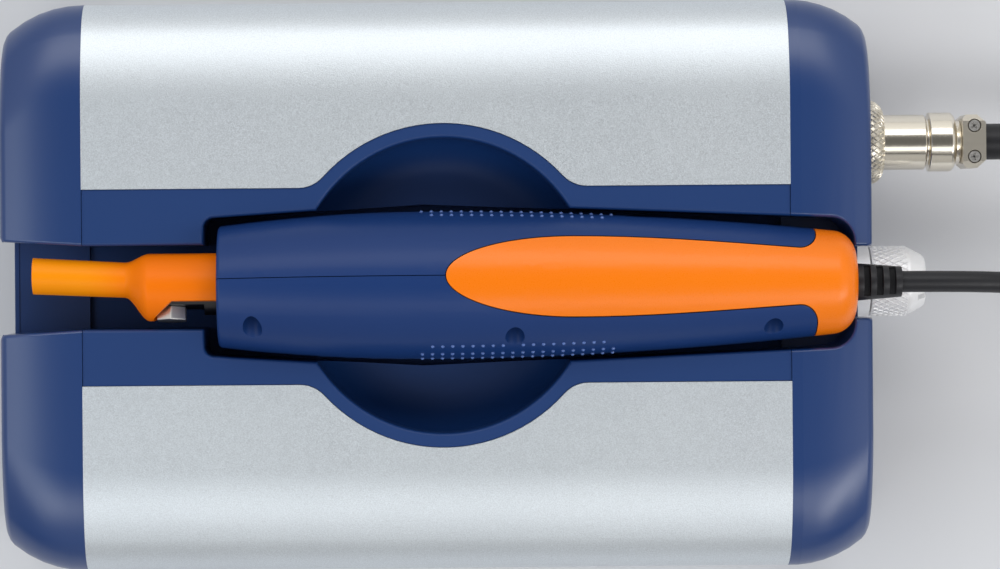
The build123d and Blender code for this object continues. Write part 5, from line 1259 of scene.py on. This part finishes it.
@dataclass(frozen=True)
class Softbox:
    """A soft light that faces the object, with its width and height in metres and its power in watts."""

    name: str
    place: Point
    size: tuple[float, float]
    power: float
    tint: tuple[float, float, float] = (1.0, 1.0, 1.0)
    target: Point = (0.0, 0.0, 0.05)

    def hang(self) -> None:
        """Hang the light."""
        lamp = bpy.data.lights.new(self.name, "AREA")
        lamp.shape = "RECTANGLE"
        lamp.size, lamp.size_y = self.size
        lamp.energy, lamp.color = self.power, self.tint
        holder = link(bpy.data.objects.new(self.name, lamp))
        holder.location = self.place
        aim = Vector(self.target) - Vector(self.place)
        holder.rotation_euler = aim.to_track_quat("-Z", "Y").to_euler()


@dataclass
class Studio:
    """Floor, light and camera of the photograph. The light's levels run by height, across Y and along X."""

    floor_reach: float = 4.0
    camera: Point = (-7.6 * MM, 5 * MM, 0.964)
    lens: float = 133.6
    sensor: float = 36.0
    shift: tuple[float, float] = (0.095, -0.0195)
    roll: float = -0.008
    world_strength: float = 1.0
    sky: Sequence[FlatPoint] = ((0.0, 0.72), (0.3, 0.86), (0.84, 1.0), (0.92, 0.18), (1.0, 0.115))
    sky_lean: float = math.radians(6.5)
    sides: Sequence[FlatPoint] = (
        (0.0, 0.62), (0.05, 0.55), (0.13, 0.34), (0.22, 0.5), (0.3, 0.8), (0.5, 1.0), (1.0, 1.0),
    )
    ends: Sequence[FlatPoint] = ((0.0, 1.0), (0.3, 1.0), (0.55, 0.74), (1.0, 0.74))
    lamps: Sequence[Softbox] = (
        Softbox("upper_softbox", (0.0, 0.84, 0.96), (1.5, 0.46), 4.0),
        Softbox("lower_softbox", (0.05, -0.6, 1.1), (1.6, 0.32), 2.3),
        Softbox("front_strip", (-0.7, -0.3, 0.95), (0.9, 0.5), 2.3, (0.84, 0.93, 1.0)),
        Softbox("rear_strip", (0.78, -0.62, 0.96), (0.62, 0.24), 2.5),
        Softbox("side_strip", (0.98, -0.4, 0.66), (0.44, 0.26), 1.1),
    )

    def build(self) -> None:
        """Set up the view."""
        self._floor()
        self._world()
        for lamp in self.lamps:
            lamp.hang()
        self._camera()
        bpy.context.scene.view_settings.view_transform = "Standard"

    def _floor(self) -> None:
        """Lay the pale floor."""
        reach = self.floor_reach
        corners = [(-reach, -reach, 0), (reach, -reach, 0), (reach, reach, 0), (-reach, reach, 0)]
        mesh = bpy.data.meshes.new("floor")
        mesh.from_pydata(corners, [], [(0, 1, 2, 3)])
        mesh.materials.append(FLOOR_PAPER.material())
        link(bpy.data.objects.new("floor", mesh))

    def _world(self) -> None:
        """Make the surroundings: a pale ring all round, and the darker room overhead."""
        world = bpy.data.worlds.new("studio")
        world.use_nodes = True
        bpy.context.scene.world = world
        tree = world.node_tree
        where = add_node(tree, "ShaderNodeTexCoord").outputs["Generated"]
        lean = add_node(tree, "ShaderNodeMapping", {"Vector": where, "Rotation": (self.sky_lean, 0.0, 0.0)})
        parts = add_node(tree, "ShaderNodeSeparateXYZ", {"Vector": lean.outputs["Vector"]}).outputs
        across = add_node(tree, "ShaderNodeMapRange", {"Value": parts["Y"], "From Min": -1.0}).outputs[0]
        along = add_node(tree, "ShaderNodeMath", {0: parts["X"]}, operation="ABSOLUTE").outputs[0]
        light = self._ramp(tree, parts["Z"], self.sky)
        for value, levels in ((across, self.sides), (along, self.ends)):
            both = {0: light, 1: self._ramp(tree, value, levels)}
            light = add_node(tree, "ShaderNodeVectorMath", both, operation="MULTIPLY").outputs[0]
        fill(tree, tree.nodes["Background"], {"Color": light, "Strength": self.world_strength})

    @staticmethod
    def _ramp(tree: Tree, value: Socket, levels: Sequence[FlatPoint]) -> Socket:
        """Turn a value into a level of grey.

        Args:
            tree: The world's tree.
            value: The socket with the value, from 0 to 1.
            levels: Values in rising order from 0 to 1, each with its level.

        Returns:
            The socket with the grey.
        """
        ramp = add_node(tree, "ShaderNodeValToRGB", {"Fac": value})
        steps = ramp.color_ramp.elements
        for place, _ in levels[1:-1]:
            steps.new(place)
        for step, (_, level) in zip(steps, levels):
            step.color = (level, level, level, 1.0)
        return ramp.outputs["Color"]

    def _camera(self) -> None:
        """Look straight down, as the photograph does."""
        data = bpy.data.cameras.new("camera")
        data.lens, data.sensor_width = self.lens, self.sensor
        data.shift_x, data.shift_y = self.shift
        camera = link(bpy.data.objects.new("camera", data))
        camera.location = self.camera
        camera.rotation_euler = (0.0, 0.0, self.roll)
        bpy.context.scene.camera = camera


def dress_cad_nodes() -> None:
    """Give every CAD node the finish of its material slot."""
    for entry in frame["record"]["subparts"]:
        mesh = frame["nodes"][entry["node"]].data
        mesh.materials.clear()
        mesh.materials.append(FINISHES[entry["material_slot"]].material())


def main() -> None:
    """Dress the whole cutter and set up the view."""
    logging.basicConfig(level=logging.INFO)
    Studio().build()
    dress_cad_nodes()
    plug = Connectors().dress()
    Cable().dress(plug)
    Housing().dress()
    Handpiece().dress()
    BladeEnd().dress()
    FrontPanel().dress()
    RearPanel().dress()


if __name__ == "__main__":
    main()
